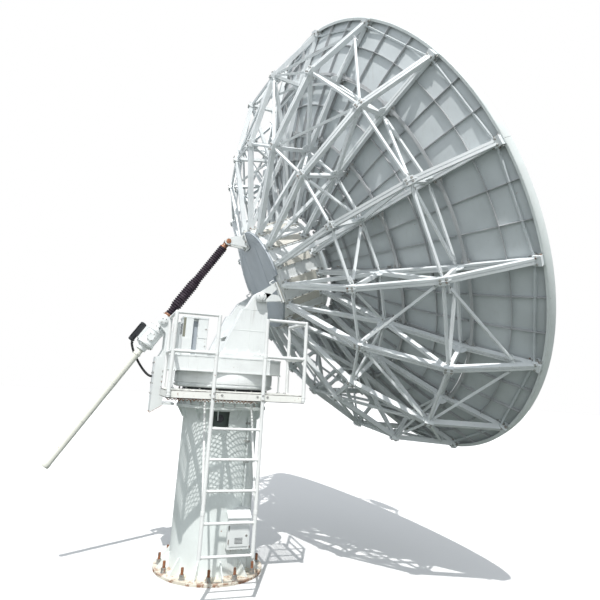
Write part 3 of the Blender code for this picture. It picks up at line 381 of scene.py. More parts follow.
# Shape building
class Shape:
    """Faces gathered for one piece; each keeps a material number and whether it is smooth."""

    def __init__(self, *materials):
        self.verts = []
        self.faces = []
        self.looks = []
        self.names = list(materials)
        self.move = IDENTITY

    def look(self, name):
        if name not in self.names:
            self.names.append(name)
        return self.names.index(name)

    def put(self, verts, faces, name, smooth=False, place=None):
        base = len(self.verts)
        matrix = self.move @ place if place else self.move
        self.verts += [matrix @ Vector(v) for v in verts]
        self.faces += [[base + i for i in face] for face in faces]
        self.looks += [(self.look(name), smooth)] * len(faces)

    def skin(self, verts, count, name, smooth=False, place=None):
        """Rows of count points, each joined to the next, with a flat face at both ends."""
        last = len(verts) - count
        self.put(verts, [[row + k, row + (k + 1) % count, row + count + (k + 1) % count,
                          row + count + k] for row in range(0, last, count) for k in range(count)],
                 name, smooth, place)
        self.put(verts, [list(range(count))[::-1], list(range(last, last + count))], name, False,
                 place)

    def prism(self, outline, low, high, name, place=None):
        """An outline in local XY, extruded in Z."""
        self.skin([(x, y, z) for z in (low, high) for x, y in outline], len(outline), name,
                  place=place)

    def box(self, corner, opposite, name, place=None):
        """A block between two opposite corners."""
        (x0, x1), (y0, y1), (z0, z1) = (sorted(pair) for pair in zip(corner, opposite))
        self.prism([(x0, y0), (x1, y0), (x1, y1), (x0, y1)], z0, z1, name, place)

    def turned(self, profile, name, place=None, sides=32, smooth=True, start=0.0, turn=2 * pi):
        """A profile of (radius, height) about local Z; radii of nought close its ends."""
        whole = turn >= 2 * pi
        columns = sides if whole else sides + 1
        verts = []
        for r, z in profile:
            verts += [(r * cos(start + turn * k / sides), r * sin(start + turn * k / sides), z)
                      for k in range(columns)]
        faces = []
        for i in range(len(profile) - 1):
            for k in range(sides):
                j = (k + 1) % columns
                a, b = i * columns + k, i * columns + j
                quad = [a, b, b + columns, a + columns]
                if profile[i][0] < 1e-9:
                    quad = [a, b + columns, a + columns]
                elif profile[i + 1][0] < 1e-9:
                    quad = [a, b, a + columns]
                faces.append(quad)
        self.put(verts, faces, name, smooth, place)

    def disc(self, radius, height, name, place, sides, smooth=True):
        self.turned([(0, 0), (radius, 0), (radius, height), (0, height)], name, place, sides, smooth)

    def tube(self, points, radius, name, sides=10):
        """A round bar along a line of points, mitred at its joints."""
        spots = mitred(points)
        side = spots[0][1].orthogonal().normalized()
        verts = []
        for at, before, plane in spots:
            side = (side - before * side.dot(before)).normalized()
            other = before.cross(side)
            for k in range(sides):
                angle = 2 * pi * k / sides
                spoke = side * cos(angle) * radius + other * sin(angle) * radius
                spoke -= before * (spoke.dot(plane) / before.dot(plane))
                verts.append(at + spoke)
        self.skin(verts, sides, name, True)

    def section(self, points, outline, across, name):
        """A section of (across, outwards) points run along a line that lies square to across."""
        across = Vector(across)
        verts = []
        for at, before, plane in mitred(points):
            outwards = across.cross(plane) / plane.dot(before)
            verts += [at + across * x + outwards * y for x, y in outline]
        self.skin(verts, len(outline), name)

    def bolt(self, at, normal, size, name="zinc"):
        """A washer and a hexagon head, size across the flats."""
        place = facing(at, normal)
        self.disc(size * 0.95, size * 0.12, name, place, 12, False)
        flats = [(size * 0.56 * cos(pi / 3 * k), size * 0.56 * sin(pi / 3 * k)) for k in range(6)]
        verts = [(share * x, share * y, size * z) for share, z in ((1, 0.12), (1, 0.62), (0.82, 0.72))
                 for x, y in flats]
        faces = [[row + i, row + (i + 1) % 6, row + 6 + (i + 1) % 6, row + 6 + i]
                 for row in (0, 6) for i in range(6)]
        self.put(verts, faces + [list(range(12, 18))], name, False, place)

    def bolt_circle(self, count, radius, height, size, place, start=0.0):
        """Bolts in a circle round local Z, with their heads up it."""
        normal = place.to_3x3() @ Vector((0, 0, 1))
        for k in range(count):
            a = start + 2 * pi * k / count
            self.bolt(place @ Vector((radius * cos(a), radius * sin(a), height)), normal, size)

    def weld(self, points, radius, name):
        """A fillet of weld along a line."""
        self.tube(points, radius, name, 6)

    def made(self, name, mats, bevel=0.0, segments=2):
        mesh = bpy.data.meshes.new(name)
        mesh.from_pydata([tuple(v) for v in self.verts], [], self.faces)
        for look in self.names:
            mesh.materials.append(mats[look])
        mesh.polygons.foreach_set("material_index", [look for look, _ in self.looks])
        mesh.polygons.foreach_set("use_smooth", [smooth for _, smooth in self.looks])
        bm = bmesh.new()
        bm.from_mesh(mesh)
        bmesh.ops.remove_doubles(bm, verts=bm.verts, dist=2e-5)
        bmesh.ops.recalc_face_normals(bm, faces=bm.faces)
        bm.to_mesh(mesh)
        bm.free()
        mesh.set_sharp_from_angle(angle=radians(40))
        ob = bpy.data.objects.new(name, mesh)
        bpy.context.scene.collection.objects.link(ob)
        if bevel:
            modifier = ob.modifiers.new("Bevel", "BEVEL")
            modifier.width = bevel
            modifier.segments = segments
            modifier.limit_method = "ANGLE"
            modifier.angle_limit = radians(50)
            modifier.use_clamp_overlap = True
            modifier.harden_normals = True
        return ob


def facing(at, normal, up=None):
    """A frame at a point with its Z along a direction, and its Y as near up as can be."""
    z = Vector(normal).normalized()
    guide = Vector(up) if up else z.orthogonal()
    x = guide.cross(z).normalized()
    y = z.cross(x)
    return Matrix.Translation(Vector(at)) @ Matrix((x, y, z)).transposed().to_4x4()


def mitred(points):
    """Each point of a line, with the way that leads up to it and its mitre plane's normal."""
    line = [Vector(p) for p in points]
    runs = [(b - a).normalized() for a, b in zip(line, line[1:])]
    return [(at, before, (before + after).normalized())
            for at, before, after in zip(line, runs[:1] + runs, runs + runs[-1:])]


def arc(radius, start, turn, steps, centre=(0, 0)):
    return [(centre[0] + radius * cos(start + turn * k / steps),
             centre[1] + radius * sin(start + turn * k / steps)) for k in range(steps + 1)]


def ring(radius, sides, start=0.0, centre=(0, 0)):
    return arc(radius, start, 2 * pi, sides, centre)[:-1]


def keep(shape, name, mats, body, slot, *nodes, bevel=0.0, segments=2):
    """Make the piece, let it ride on its body, and hide the CAD nodes that it stands for."""
    ob = shape.made(name, mats, bevel, segments)
    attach(ob, body)
    if nodes:
        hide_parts(*nodes)
    return ob


# The dish's back frame
def rib_frame(k):
    """A rib's own frame: X along the hub's axis, Y across the rib, Z outwards."""
    return DISH @ Matrix.Rotation(pi / 2 - RIB_CLOCK - BAY * k, 4, "X")


def joint(k, spot):
    """A rib's truss joint, (radius, distance along the axis), in the world."""
    return rib_frame(k % RIBS) @ Vector((spot[1], 0, spot[0]))


def chord_level(chord, r):
    for (r0, s0), (r1, s1) in zip(chord, chord[1:]):
        if r <= r1:
            return s0 + (s1 - s0) * max(0.0, (r - r0) / (r1 - r0))
    return chord[-1][1]


def surface(r):
    """How far along the axis the reflecting surface is."""
    return APEX + r * r / (4 * FOCUS)


GUSSET_R = 0.082
GUSSET_T = 0.008
SKIN_T = 0.006
SEAT_RADII = (0.86, 1.63, 2.40, 2.95)


def chord_section(half):
    """A box section with a groove down its back and front, as of two channels set toe to toe."""
    groove, deep = 0.004, 0.010
    side = [(-half, -half), (-groove, -half), (-groove, deep - half), (groove, deep - half),
            (groove, -half), (half, -half)]
    return side + [(-x, -y) for x, y in side]


def square(half):
    return [(-half, -half), (half, -half), (half, half), (-half, half)]


def add_rib(k, mats):
    shape = Shape("frame", "zinc", "post")
    shape.move = rib_frame(k)
    for chord, half in ((REAR, REAR_CHORD_HALF), (FRONT, FRONT_CHORD_HALF)):
        shape.section([(s, 0, r) for r, s in chord], chord_section(half), (0, 1, 0), "frame")
    webs = ((REAR[1], FRONT[1]), (REAR[2], FRONT[2]), (WEB_START, FRONT[1]), (FRONT[1], REAR[2]))
    for a, b in webs:
        shape.section([(a[1], 0, a[0]), (b[1], 0, b[0])], square(WEB_HALF), (0, 1, 0), "frame")
    for node, other in ((REAR[1], FRONT[1]), (FRONT[1], REAR[1]), (REAR[2], FRONT[2]),
                        (FRONT[2], REAR[2])):
        lean = Vector((other[1] - node[1], 0, other[0] - node[0])).normalized() * 0.03
        at = Vector((node[1], 0, node[0])) + lean
        place = facing(at, (0, 1, 0), (0, 0, 1))
        shape.prism(ring(GUSSET_R, 8, pi / 8), -GUSSET_T / 2, GUSSET_T / 2, "frame", place)
        for side in (-1, 1):
            for dx, dz in ((-0.052, 0.02), (0.052, 0.02), (0.0, -0.058)):
                shape.bolt(at + Vector((dx, side * GUSSET_T / 2, dz)), (0, side, 0), 0.015)
    add_rib_foot(shape)
    for r in SEAT_RADII:
        add_panel_seat(shape, r)
    tip = Vector((1.69, 0, 3.02))
    shape.prism([(-0.045, -0.04), (0.045, -0.04), (0.055, 0.045), (-0.055, 0.045)], -0.05, 0.05,
                "frame", facing(tip, (0, 1, 0), (0.35, 0, 1)))
    for side in (-1, 1):
        for dz in (-0.02, 0.025):
            shape.bolt(tip + Vector((0, side * 0.05, dz)), (0, side, 0), 0.022)
    for dy in (-0.03, 0.03):
        shape.bolt(tip + Vector((-0.045, dy, 0.015)), (-1, 0, 0.35), 0.02)
    keep(shape, f"truss_rib_{k + 1:02d}", mats, "dish", "frame_paint", f"rib_{k + 1:02d}")


def add_rib_foot(shape):
    """The post on the hub's corner, with the two bolted feet of the rib."""
    top = HUB_R + 0.020
    shape.box((0.004, -0.055, HUB_R + 0.0003), (HUB_DEPTH - 0.004, 0.055, top - 0.008), "post")
    for s in (REAR[0][1], FRONT[0][1]):
        low, high = max(0.002, s - 0.07), min(HUB_DEPTH - 0.002, s + 0.07)
        shape.box((low, -0.052, top - 0.008), (high, 0.052, top + 0.002), "frame")
        for dx in (low + 0.018, high - 0.018):
            for dy in (-0.036, 0.036):
                shape.bolt((dx, dy, top + 0.002), (0, 0, 1), 0.019)
        shape.prism([(-0.05, -0.012), (0.05, -0.012), (0.02, 0.06), (-0.02, 0.06)], -0.005, 0.005,
                    "frame", facing((s, 0, top + 0.012), (0, 1, 0), (0, 0, 1)))


def add_panel_seat(shape, r):
    """A clip from the front chord to the panels, with its bolts."""
    low, high = chord_level(FRONT, r), surface(r) - SKIN_T - 0.002
    shape.prism([(-0.05, 0.0), (0.05, 0.0), (0.035, high - low), (-0.035, high - low)],
                -0.006, 0.006, "frame", facing((low, 0, r), (0, 1, 0), (1, 0, 0)))
    for side in (-1, 1):
        shape.box((high - 0.008, 0, r - 0.03), (high, side * 0.045, r + 0.03), "frame")
        for dr in (-0.018, 0.018):
            shape.bolt((high - 0.008, side * 0.030, r + dr), (-1, 0, 0), 0.016)


TAB_REACH = 0.03
TAB_T = 0.008
SADDLE_HALF = 0.05
SADDLE_T = 0.010
SADDLE_DEPTH = 0.024
CROSS_BAYS = (1, 2, 3, 4, 5, 6, 9, 10, 11, 12, 13, 14)
CROSS_FOOT = (2.93, 1.515)
RIM_BAR = (3.0, 1.672)


def strut(shape, a, b, half, gap=0.05, look="frame"):
    """A square bar between two joints, with a flat bolted tab at each end."""
    a, b = Vector(a), Vector(b)
    run = (b - a).normalized()
    start, end = a + run * gap, b - run * gap
    side = run.cross(REARWARDS).normalized()
    shape.section([start + run * TAB_REACH, end - run * TAB_REACH], square(half), side, look)
    for at, way in ((start, run), (end, -run)):
        place = facing(at, REARWARDS, way)
        shape.prism([(-half, -0.02), (half, -0.02), (half, 0.075), (-half, 0.075)],
                    -TAB_T / 2, TAB_T / 2, look, place)
        normal = place.to_3x3() @ Vector((0, 0, 1))
        shape.bolt(at + way * 0.015 - normal * TAB_T / 2, -normal, 0.018)


def add_saddle(shape, index, k):
    """A bolted clip round the back of a rib's rear chord, which the bracing is made fast to."""
    before, here, after = (Vector((s, r)) for r, s in REAR[index - 1:index + 2])
    along = ((here - before).normalized() + (after - here).normalized()).normalized()
    inner = REAR_CHORD_HALF + 0.0005
    outer = inner + SADDLE_T
    outline = [(-outer, -SADDLE_DEPTH), (-inner, -SADDLE_DEPTH), (-inner, inner), (inner, inner),
               (inner, -SADDLE_DEPTH), (outer, -SADDLE_DEPTH), (outer, outer), (-outer, outer)]
    shape.move = rib_frame(k)
    axis = Vector((along.x, 0, along.y))
    middle = Vector((here.x, 0, here.y))
    shape.section([middle - axis * SADDLE_HALF, middle + axis * SADDLE_HALF], outline, (0, -1, 0),
                  "frame")
    back = Vector((-along.y, 0, along.x))
    for way in (-1, 1):
        for side in (-1, 1):
            spot = middle + axis * way * SADDLE_HALF * 0.6 + Vector((0, side * 0.016, 0))
            shape.bolt(spot + back * outer, back, 0.015)
    shape.move = IDENTITY


def add_bracing(mats):
    """Hoops and zigzags between the ribs, in an inner and an outer ring, and bars along the rim."""
    inner, outer, rim = Shape("frame", "zinc"), Shape("frame", "zinc"), Shape("panel", "zinc")
    for k in range(RIBS):
        odd, even = (k, k + 1) if k % 2 else (k + 1, k)
        for shape, index in ((inner, 1), (outer, 2)):
            for spot in (REAR[index], FRONT[index]):
                strut(shape, joint(k, spot), joint(k + 1, spot), BRACE_HALF)
            add_saddle(shape, index, k)
        strut(inner, joint(odd, REAR[1]), joint(even, FRONT[1]), BRACE_HALF, 0.07)
        strut(outer, joint(odd, FRONT[2]), joint(even, REAR[2]), BRACE_HALF, 0.07)
        if k in CROSS_BAYS:
            for foot in (REAR[1], CROSS_FOOT):
                strut(outer, joint(odd, REAR[2]), joint(even, foot), BRACE_HALF, 0.08)
        # The rim bars take the darker panel paint, not the truss paint: painted shade for the dark lines
        # they make along the rim.
        strut(rim, joint(k, RIM_BAR), joint(k + 1, RIM_BAR), RIM_BAR_HALF, 0.055, "panel")
    keep(inner, "inner_bay_bracing", mats, "dish", "frame_paint", "inner_bracing")
    keep(outer, "outer_bay_bracing", mats, "dish", "frame_paint", "outer_bracing")
    keep(rim, "rim_bars", mats, "dish", "frame_paint")


# The reflector
PANEL_JOINTS = (0.70, 1.735, 2.42, 3.06)
STIFFENER_RADII = ((1.10, 1.43), (2.10,), (2.76,))
PANEL_GAP = 0.003
BLADE_T = 0.006
BLADE_DEPTH = 0.046
JOINT_DEPTH = 0.058


def slope(r):
    """The way back from the surface, as (outwards, along the axis)."""
    steep = atan2(r, 2 * FOCUS)
    return sin(steep), -cos(steep)


def behind(r, depth):
    out, back = slope(r)
    return r + out * depth, surface(r) + back * depth


def round_hub(r, s, a):
    """A point by its distance from the hub's axis, its distance along it and its angle."""
    return Vector((s, -r * cos(a), r * sin(a)))


def swept(shape, profile, a0, a1, steps, look):
    """A closed outline of (radius, distance along) swept round the hub's axis.

    look gives the material of each side of the outline, or is one name."""
    count = len(profile)
    verts = []
    for k in range(steps + 1):
        a = a0 + (a1 - a0) * k / steps
        verts += [round_hub(r, s, a) for r, s in profile]
    for i in range(count):
        j = (i + 1) % count
        name = look if isinstance(look, str) else look(i)
        faces = [[k * count + i, k * count + j, (k + 1) * count + j, (k + 1) * count + i]
                 for k in range(steps)]
        shape.put(verts, faces, name, True, DISH)
    end = look if isinstance(look, str) else look(count - 1)
    shape.put(verts, [list(range(count)), list(range(steps * count, (steps + 1) * count))[::-1]],
              end, False, DISH)


def blade(shape, a, r0, r1, depth, thick, look, steps=6):
    """A flat bar on edge along the surface's back, outwards at one angle."""
    verts = []
    for k in range(steps + 1):
        r = r0 + (r1 - r0) * k / steps
        for d in (SKIN_T - 0.001, depth):
            br, bs = behind(r, d)
            for side in (-1, 1):
                da = side * thick / 2 / br
                verts.append(round_hub(br, bs, a + da))
    faces = [[0, 1, 3, 2], [4 * steps, 4 * steps + 2, 4 * steps + 3, 4 * steps + 1]]
    for k in range(steps):
        b = 4 * k
        faces += [[b, b + 2, b + 6, b + 4], [b + 1, b + 5, b + 7, b + 3],
                  [b + 2, b + 3, b + 7, b + 6], [b, b + 4, b + 5, b + 1]]
    shape.put(verts, faces, look, False, DISH)


def hoop(shape, r, a0, a1, depth, thick, look, flange=0.0):
    """A flat bar, or an angle, round the back of the surface at one radius."""
    out, back = slope(r)
    sideways = (-back, out)
    root, tip = behind(r, SKIN_T - 0.001), behind(r, depth)
    half = thick / 2

    def off(point, across):
        return point[0] + sideways[0] * across, point[1] + sideways[1] * across

    profile = [off(root, -half), off(root, half), off(tip, half)]
    if flange:
        lip, heel = off(tip, half + flange), off(tip, -half)
        profile += [lip] + [(r + out * thick, s + back * thick) for r, s in (lip, heel)]
    else:
        profile.append(off(tip, -half))
    swept(shape, profile, a0, a1, 6, look)


def add_sector(shape, k):
    """One sector between two ribs: three panels, their stiffeners, joints and bolts."""
    start, end = RIB_CLOCK + BAY * k, RIB_CLOCK + BAY * (k + 1)
    for low, high, radii in zip(PANEL_JOINTS, PANEL_JOINTS[1:], STIFFENER_RADII):
        inner, outer = low + PANEL_GAP / 2, high - PANEL_GAP / 2
        middle = (inner + outer) / 2
        edge = PANEL_GAP / 2 / middle
        spots = [inner + (outer - inner) * i / 8 for i in range(9)]
        profile = [(r, surface(r)) for r in spots] + [behind(r, SKIN_T) for r in spots[::-1]]
        swept(shape, profile, start + edge, end - edge, 8,
              lambda i: "face" if i < 8 else "panel")
        for r in radii:
            hoop(shape, r, start + 0.016 / r, end - 0.016 / r, BLADE_DEPTH, BLADE_T, "stiffener")
        for third in (1, 2):
            a = start + BAY * third / 3
            blade(shape, a, inner + 0.02, outer - 0.02, BLADE_DEPTH * 0.92, BLADE_T, "stiffener")
        for a in (start + 0.011 / middle, end - 0.011 / middle):
            blade(shape, a, inner + 0.015, outer - 0.015, 0.030, 0.007, "stiffener")
    for r in PANEL_JOINTS[:3]:
        hoop(shape, r + 0.01, start + 0.02 / r, end - 0.02 / r, JOINT_DEPTH, 0.009, "stiffener",
             0.022)
        for a, side in ((start, 1), (end, -1)):
            add_joint_gusset(shape, r + 0.012, a, side)
    hoop(shape, 3.045, start + 0.012, end - 0.012, 0.040, BLADE_T, "stiffener")


def add_joint_gusset(shape, r, a, side):
    """The small triangle that ties a panel joint to the radial edge, and its bolts."""
    if r < 1:
        return
    verts = []
    for dr, da in ((-0.055, 0.024), (0.055, 0.024), (0.010, 0.125), (-0.010, 0.125)):
        for depth in (0.050, 0.056):
            verts.append(round_hub(*behind(r + dr, depth), a + side * da / r))
    faces = [[0, 2, 4, 6], [1, 7, 5, 3], [0, 1, 3, 2], [2, 3, 5, 4], [4, 5, 7, 6], [6, 7, 1, 0]]
    shape.put(verts, faces, "stiffener", False, DISH)
    angle = a + side * 0.045 / r
    normal = DISH.to_3x3() @ round_hub(*slope(r), angle)
    for dr in (-0.03, 0.03):
        shape.bolt(DISH @ round_hub(*behind(r + dr, 0.056), angle), normal, 0.015)


RIM_BAND = 0.088
RIM_T = 0.004


def add_reflector(mats):
    for quarter in range(4):
        shape = Shape("face", "panel", "stiffener", "rim", "zinc")
        for k in range(4 * quarter, 4 * quarter + 4):
            add_sector(shape, k)
        start = RIB_CLOCK + BAY * 4 * quarter
        rim = surface(PANEL_JOINTS[-1])
        top = surface(RIM_R)
        outer = [(PANEL_JOINTS[-1] - 0.01, rim + 0.001), (RIM_R - 0.008, top), (RIM_R, top - 0.006),
                 (RIM_R, top - RIM_BAND + 0.012), (RIM_R - 0.010, top - RIM_BAND),
                 (RIM_R - 0.040, top - RIM_BAND)]
        inner = [(RIM_R - 0.040, top - RIM_BAND + RIM_T), (RIM_R - 0.012, top - RIM_BAND + RIM_T),
                 (RIM_R - RIM_T, top - RIM_BAND + 0.014), (RIM_R - RIM_T, top - 0.008),
                 (PANEL_JOINTS[-1] - 0.01, rim - RIM_T)]
        edge = 0.0005
        swept(shape, outer + inner, start + edge, start + pi / 2 - edge, 48, "rim")
        keep(shape, f"reflector_panels_{quarter + 1}", mats, "dish", "panel_paint",
             f"reflector_quarter_{quarter + 1}")


# Hub and feed
COVER_R = 0.672
NOTCH_Y = 0.545
NOTCH_TOP = -0.06


def add_hub(mats):
    """The drum: pads under the ribs, framed side panels between them, and end rings."""
    shape = Shape("hub", "zinc")
    half = atan2(0.06, HUB_R)
    inner = HUB_R - 0.012
    corners = []
    for k in range(RIBS):
        angle = RIB_CLOCK + BAY * k
        radius = hypot(HUB_R, 0.06)
        corners += [(-radius * cos(angle + d), radius * sin(angle + d)) for d in (-half, half)]
    axle = DISH @ facing((0, 0, 0), (1, 0, 0), (0, 0, 1))
    slim = [(y * inner / HUB_R, h * inner / HUB_R) for y, h in corners]
    shape.prism(slim, 0.001, HUB_DEPTH - 0.001, "hub", axle)
    for k in range(RIBS):
        shape.move = rib_frame(k)
        shape.box((0.001, -0.059, HUB_R - 0.02), (HUB_DEPTH - 0.001, 0.059, HUB_R - 0.0003), "hub")
        shape.move = rib_frame(k + 0.5)
        reach = HUB_R / cos(BAY / 2) - 0.010
        wide = 0.075
        low = reach - 0.03
        for y in (-wide, wide):
            shape.box((0.01, y - 0.012, low), (HUB_DEPTH - 0.01, y + 0.012, reach - 0.006), "hub")
            for i in range(6):
                shape.bolt((0.06 + 0.096 * i, y, reach - 0.006), (0, 0, 1), 0.013)
        for s in (0.02, HUB_DEPTH - 0.055):
            shape.box((s, -wide, low), (s + 0.035, wide, reach - 0.007), "hub")
    shape.move = IDENTITY
    keep(shape, "hub_body", mats, "dish", "frame_paint", "hub_drum", bevel=0.0015, segments=1)


def add_hub_cover(mats):
    shape = Shape("cover")
    place = DISH @ facing((0, 0, 0), (-1, 0, 0), (0, 0, 1))
    above, below = NOTCH_TOP / COVER_R, acos(NOTCH_Y / COVER_R)
    outline = (arc(COVER_R, above, pi - 2 * above, 60) + [(-NOTCH_Y, NOTCH_TOP)]
               + arc(COVER_R, pi + below, pi - 2 * below, 40) + [(NOTCH_Y, NOTCH_TOP)])
    shape.prism(outline, 0.0004, 0.026, "cover", place)
    seam = [(0.575, 0.0255), (0.577, 0.0285), (0.583, 0.0285), (0.585, 0.0255)]
    for first, turn in ((radians(-6), radians(192)), (radians(226), radians(88))):
        shape.turned(seam, "cover", place, 64, False, first, turn)
    for x in (-0.29, 0.29):
        shape.box((x - 0.004, -0.48, 0.025), (x + 0.004, 0.48, 0.0285), "cover", place)
    for k in range(36):
        a = 2 * pi * k / 36 + 0.04
        x, y = 0.645 * cos(a), 0.645 * sin(a)
        if abs(x) < NOTCH_Y - 0.02 or y > 0:
            shape.bolt(place @ Vector((x, y, 0.026)), place.to_3x3() @ Vector((0, 0, 1)), 0.013,
                       "cover")
    keep(shape, "hub_back_cover", mats, "dish", "grey_paint", "hub_cover", bevel=0.002)


LUG_Y = (0.555, 0.605)
LUG_EYE_R = 0.062
LUG_ARMS = ((-0.135, -0.215), (-0.310, -0.380))
LUG_ROOT_Y = (0.55, 0.625)
LUG_ROOT_H = (-0.40, -0.13)
LUG_ROOT_T = 0.05
PIN_R = 0.035


def add_lugs(mats):
    """The forked plates that hang the hub on the elevation pins, each bolted on by its root."""
    pivot = (-SEAT.x, -SEAT.z)
    for name, way in (("near", -1), ("far", 1)):
        shape = Shape("white", "zinc", "copper", "post")
        face = way * LUG_Y[1]
        low, high = sorted(way * y for y in LUG_Y)
        place = DISH @ SIDE_ON
        shape.prism(ring(LUG_EYE_R, 32, 0.0, pivot), -high, -low, "white", place)
        for (top, bottom), lean in zip(LUG_ARMS, (1, -1)):
            shape.prism([(-0.045, bottom), (-0.045, top), (pivot[0] - 0.012 * lean, pivot[1] + 0.060),
                         (pivot[0] + 0.012 * lean, pivot[1] - 0.060)],
                        -high + 0.0005, -low - 0.0005, "white", place)
        centre = DISH @ Vector((pivot[0], face, pivot[1]))
        boss = facing(centre, (0, way, 0))
        shape.turned([(0.042, -0.002), (0.059, -0.002), (0.059, 0.004), (0.055, 0.007),
                      (0.042, 0.007)], "white", boss, 32)
        shape.turned([(PIN_R + 0.001, 0.0), (PIN_R + 0.001, 0.009), (0.042, 0.009), (0.042, 0.0)],
                     "copper", boss)
        low, high = sorted(way * y for y in LUG_ROOT_Y)
        shape.box((-LUG_ROOT_T, low, LUG_ROOT_H[0]), (-LUG_ROOT_T + 0.016, high, LUG_ROOT_H[1]), "white",
                  DISH)
        shape.box((-0.016, low, LUG_ROOT_H[0]), (-0.0003, high, LUG_ROOT_H[1]), "white", DISH)
        shape.box((-LUG_ROOT_T + 0.010, low + 0.006, LUG_ROOT_H[0] + 0.006),
                  (-0.010, high - 0.006, LUG_ROOT_H[1] - 0.006), "post", DISH)
        for h in (-0.155, -0.225, -0.295, -0.375):
            spot = DISH @ Vector((-LUG_ROOT_T, way * (LUG_ROOT_Y[1] - 0.010), h))
            shape.bolt(spot, REARWARDS, 0.014)
        for y in (LUG_Y[0] + 0.012, LUG_Y[1] - 0.012):
            arch = [(-LUG_ROOT_T - 0.002 - 0.055 * sin(pi * k / 10), way * y,
                     LUG_ROOT_H[1] - 0.045 + 0.075 * k / 10 + 0.02 * sin(pi * k / 10))
                    for k in range(11)]
            shape.tube([DISH @ Vector(spot) for spot in arch], 0.006, "white", 10)
        keep(shape, f"elevation_bracket_{name}", mats, "dish", "white_paint",
             f"elevation_lug_{name}", bevel=0.002)


def add_rod_bracket(mats):
    shape = Shape("white", "zinc", "copper")
    place = DISH @ SIDE_ON
    eye = arc(0.05, radians(75), radians(210), 18, ROD_PIN)
    shape.box((-0.050, -0.10, 0.44), (-0.0304, 0.10, 0.655), "white", DISH)
    for low in (-0.068, 0.048):
        shape.prism([(-0.04, 0.46), (-0.04, 0.645)] + eye, low, low + 0.02, "white", place)
        outer = low if low < 0 else low + 0.02
        way = -1 if low < 0 else 1
        centre = DISH @ Vector((ROD_PIN[0], -outer, ROD_PIN[1]))
        shape.turned([(0, 0), (0.034, 0), (0.034, 0.008), (0.022, 0.010), (0, 0.010)], "copper",
                     facing(centre, (0, -way, 0)), 20)
    for y in (-0.085, 0.085):
        for h in (0.47, 0.55, 0.63):
            shape.bolt(DISH @ Vector((-0.05, y, h)), REARWARDS, 0.02)
    keep(shape, "rod_clevis", mats, "dish", "white_paint", "rod_bracket", bevel=0.003)


def add_feed(mats):
    axle = DISH @ facing((0, 0, 0), (1, 0, 0), (0, 0, 1))
    shape = Shape("face", "zinc")
    shape.turned([(0, 0.6004), (0.683, 0.6004), (0.685, 0.605), (0.685, 0.632), (0.680, 0.638),
                  (0.62, 0.640), (0.615, 0.636), (0.32, 0.636), (0.30, 0.640), (0, 0.640)],
                 "face", axle, 64)
    shape.bolt_circle(24, 0.65, 0.639, 0.018, axle)
    keep(shape, "feed_mount", mats, "dish", "panel_paint", "feed_plate")
    horn = Shape("white", "glazed", "zinc")
    flare = [(0, 0.6405), (0.295, 0.6405), (0.295, 0.655), (0.255, 0.665), (0.165, 0.96)]
    barrel = []
    for k in range(6):
        z = 0.98 + 0.07 * k
        barrel += [(0.16, z), (0.16, z + 0.055), (0.168, z + 0.057), (0.168, z + 0.068)]
    mouth = [(0.16, 1.42), (0.197, 1.60), (0.203, 1.602), (0.203, 1.618), (0.19, 1.618)]
    horn.turned(flare + barrel + mouth, "white", axle, 40)
    horn.turned([(0.191, 1.612), (0.15, 1.617), (0.08, 1.6195), (0, 1.62)], "glazed", axle, 40)
    horn.bolt_circle(12, 0.278, 0.656, 0.018, axle)
    keep(horn, "feed_horn_body", mats, "dish", "white_paint", "feed_horn")
    add_subreflector(mats, axle)


def add_subreflector(mats, axle):
    shape = Shape("face", "frame", "zinc")
    front = [(0, 2.302), (0.08, 2.306), (0.20, 2.325), (0.31, 2.366), (0.415, 2.420)]
    back = [(0.42, 2.424), (0.42, 2.448), (0.40, 2.452), (0.30, 2.468), (0.14, 2.496), (0.12, 2.5),
            (0, 2.5)]
    shape.turned(front + back, "face", axle, 56)
    for k in range(4):
        angle = RIB_CLOCK + BAY * (4 * k + 2.5)
        shape.move = DISH @ Matrix.Rotation(pi / 2 - angle, 4, "X")
        squeeze = cos(BAY / 6)
        foot = Vector((surface(1.89) + 0.03, 0, 1.89 * squeeze))
        head = Vector((2.44, 0, 0.36))
        shape.tube([foot, head], 0.024, "frame", 16)
        lean = facing((surface(1.89) + 0.006, 0, 1.89 * squeeze), (0.91, 0, -0.42), (0, 1, 0))
        shape.prism([(-0.05, -0.03), (0.05, -0.03), (0.05, 0.03), (-0.05, 0.03)], -0.004, 0.006,
                    "frame", lean)
        for dx in (-0.035, 0.035):
            for dy in (-0.018, 0.018):
                shape.bolt(lean @ Vector((dx, dy, 0.006)), lean.to_3x3() @ Vector((0, 0, 1)), 0.014)
        shape.box((2.42, -0.03, 0.30), (2.452, 0.03, 0.41), "frame")
    shape.move = IDENTITY
    keep(shape, "subreflector_and_struts", mats, "dish", "white_paint", "subreflector")


# Pedestal
FLANGE_R = 0.625
FLANGE_T = 0.03
TUBE_R = 0.455
TUBE_TOP = 1.765
BOLTS = 12
BOLT_CLOCK = radians(20)
BOLT_CIRCLE_R = 0.56
RECESS_X = (-0.17, 0.01)
RECESS_Z = (1.575, 1.745)
RECESS_BACK = -0.36


def add_anchor_bolt(shape, angle):
    """A threaded stud with its washer, nut and lock nut."""
    at = Vector((BOLT_CIRCLE_R * cos(angle), BOLT_CIRCLE_R * sin(angle), FLANGE_T))
    place = Matrix.Translation(at) @ Matrix.Rotation(angle * 3, 4, "Z")
    shape.turned([(0, -0.01), (0.036, -0.01), (0.036, 0.004), (0, 0.004)], "zinc", place, 20, False)
    for low, high in ((0.004, 0.030), (0.032, 0.048)):
        shape.prism(ring(0.0295, 6, low), low, high, "zinc", place)
    profile = [(0, 0.0)]
    for k in range(22):
        z = 0.030 + 0.0038 * k
        profile += [(0.0165, z), (0.0145, z + 0.0019)]
    profile += [(0.0150, 0.1135), (0.012, 0.1148), (0, 0.1148)]
    shape.turned(profile, "anchor", place, 12, False)


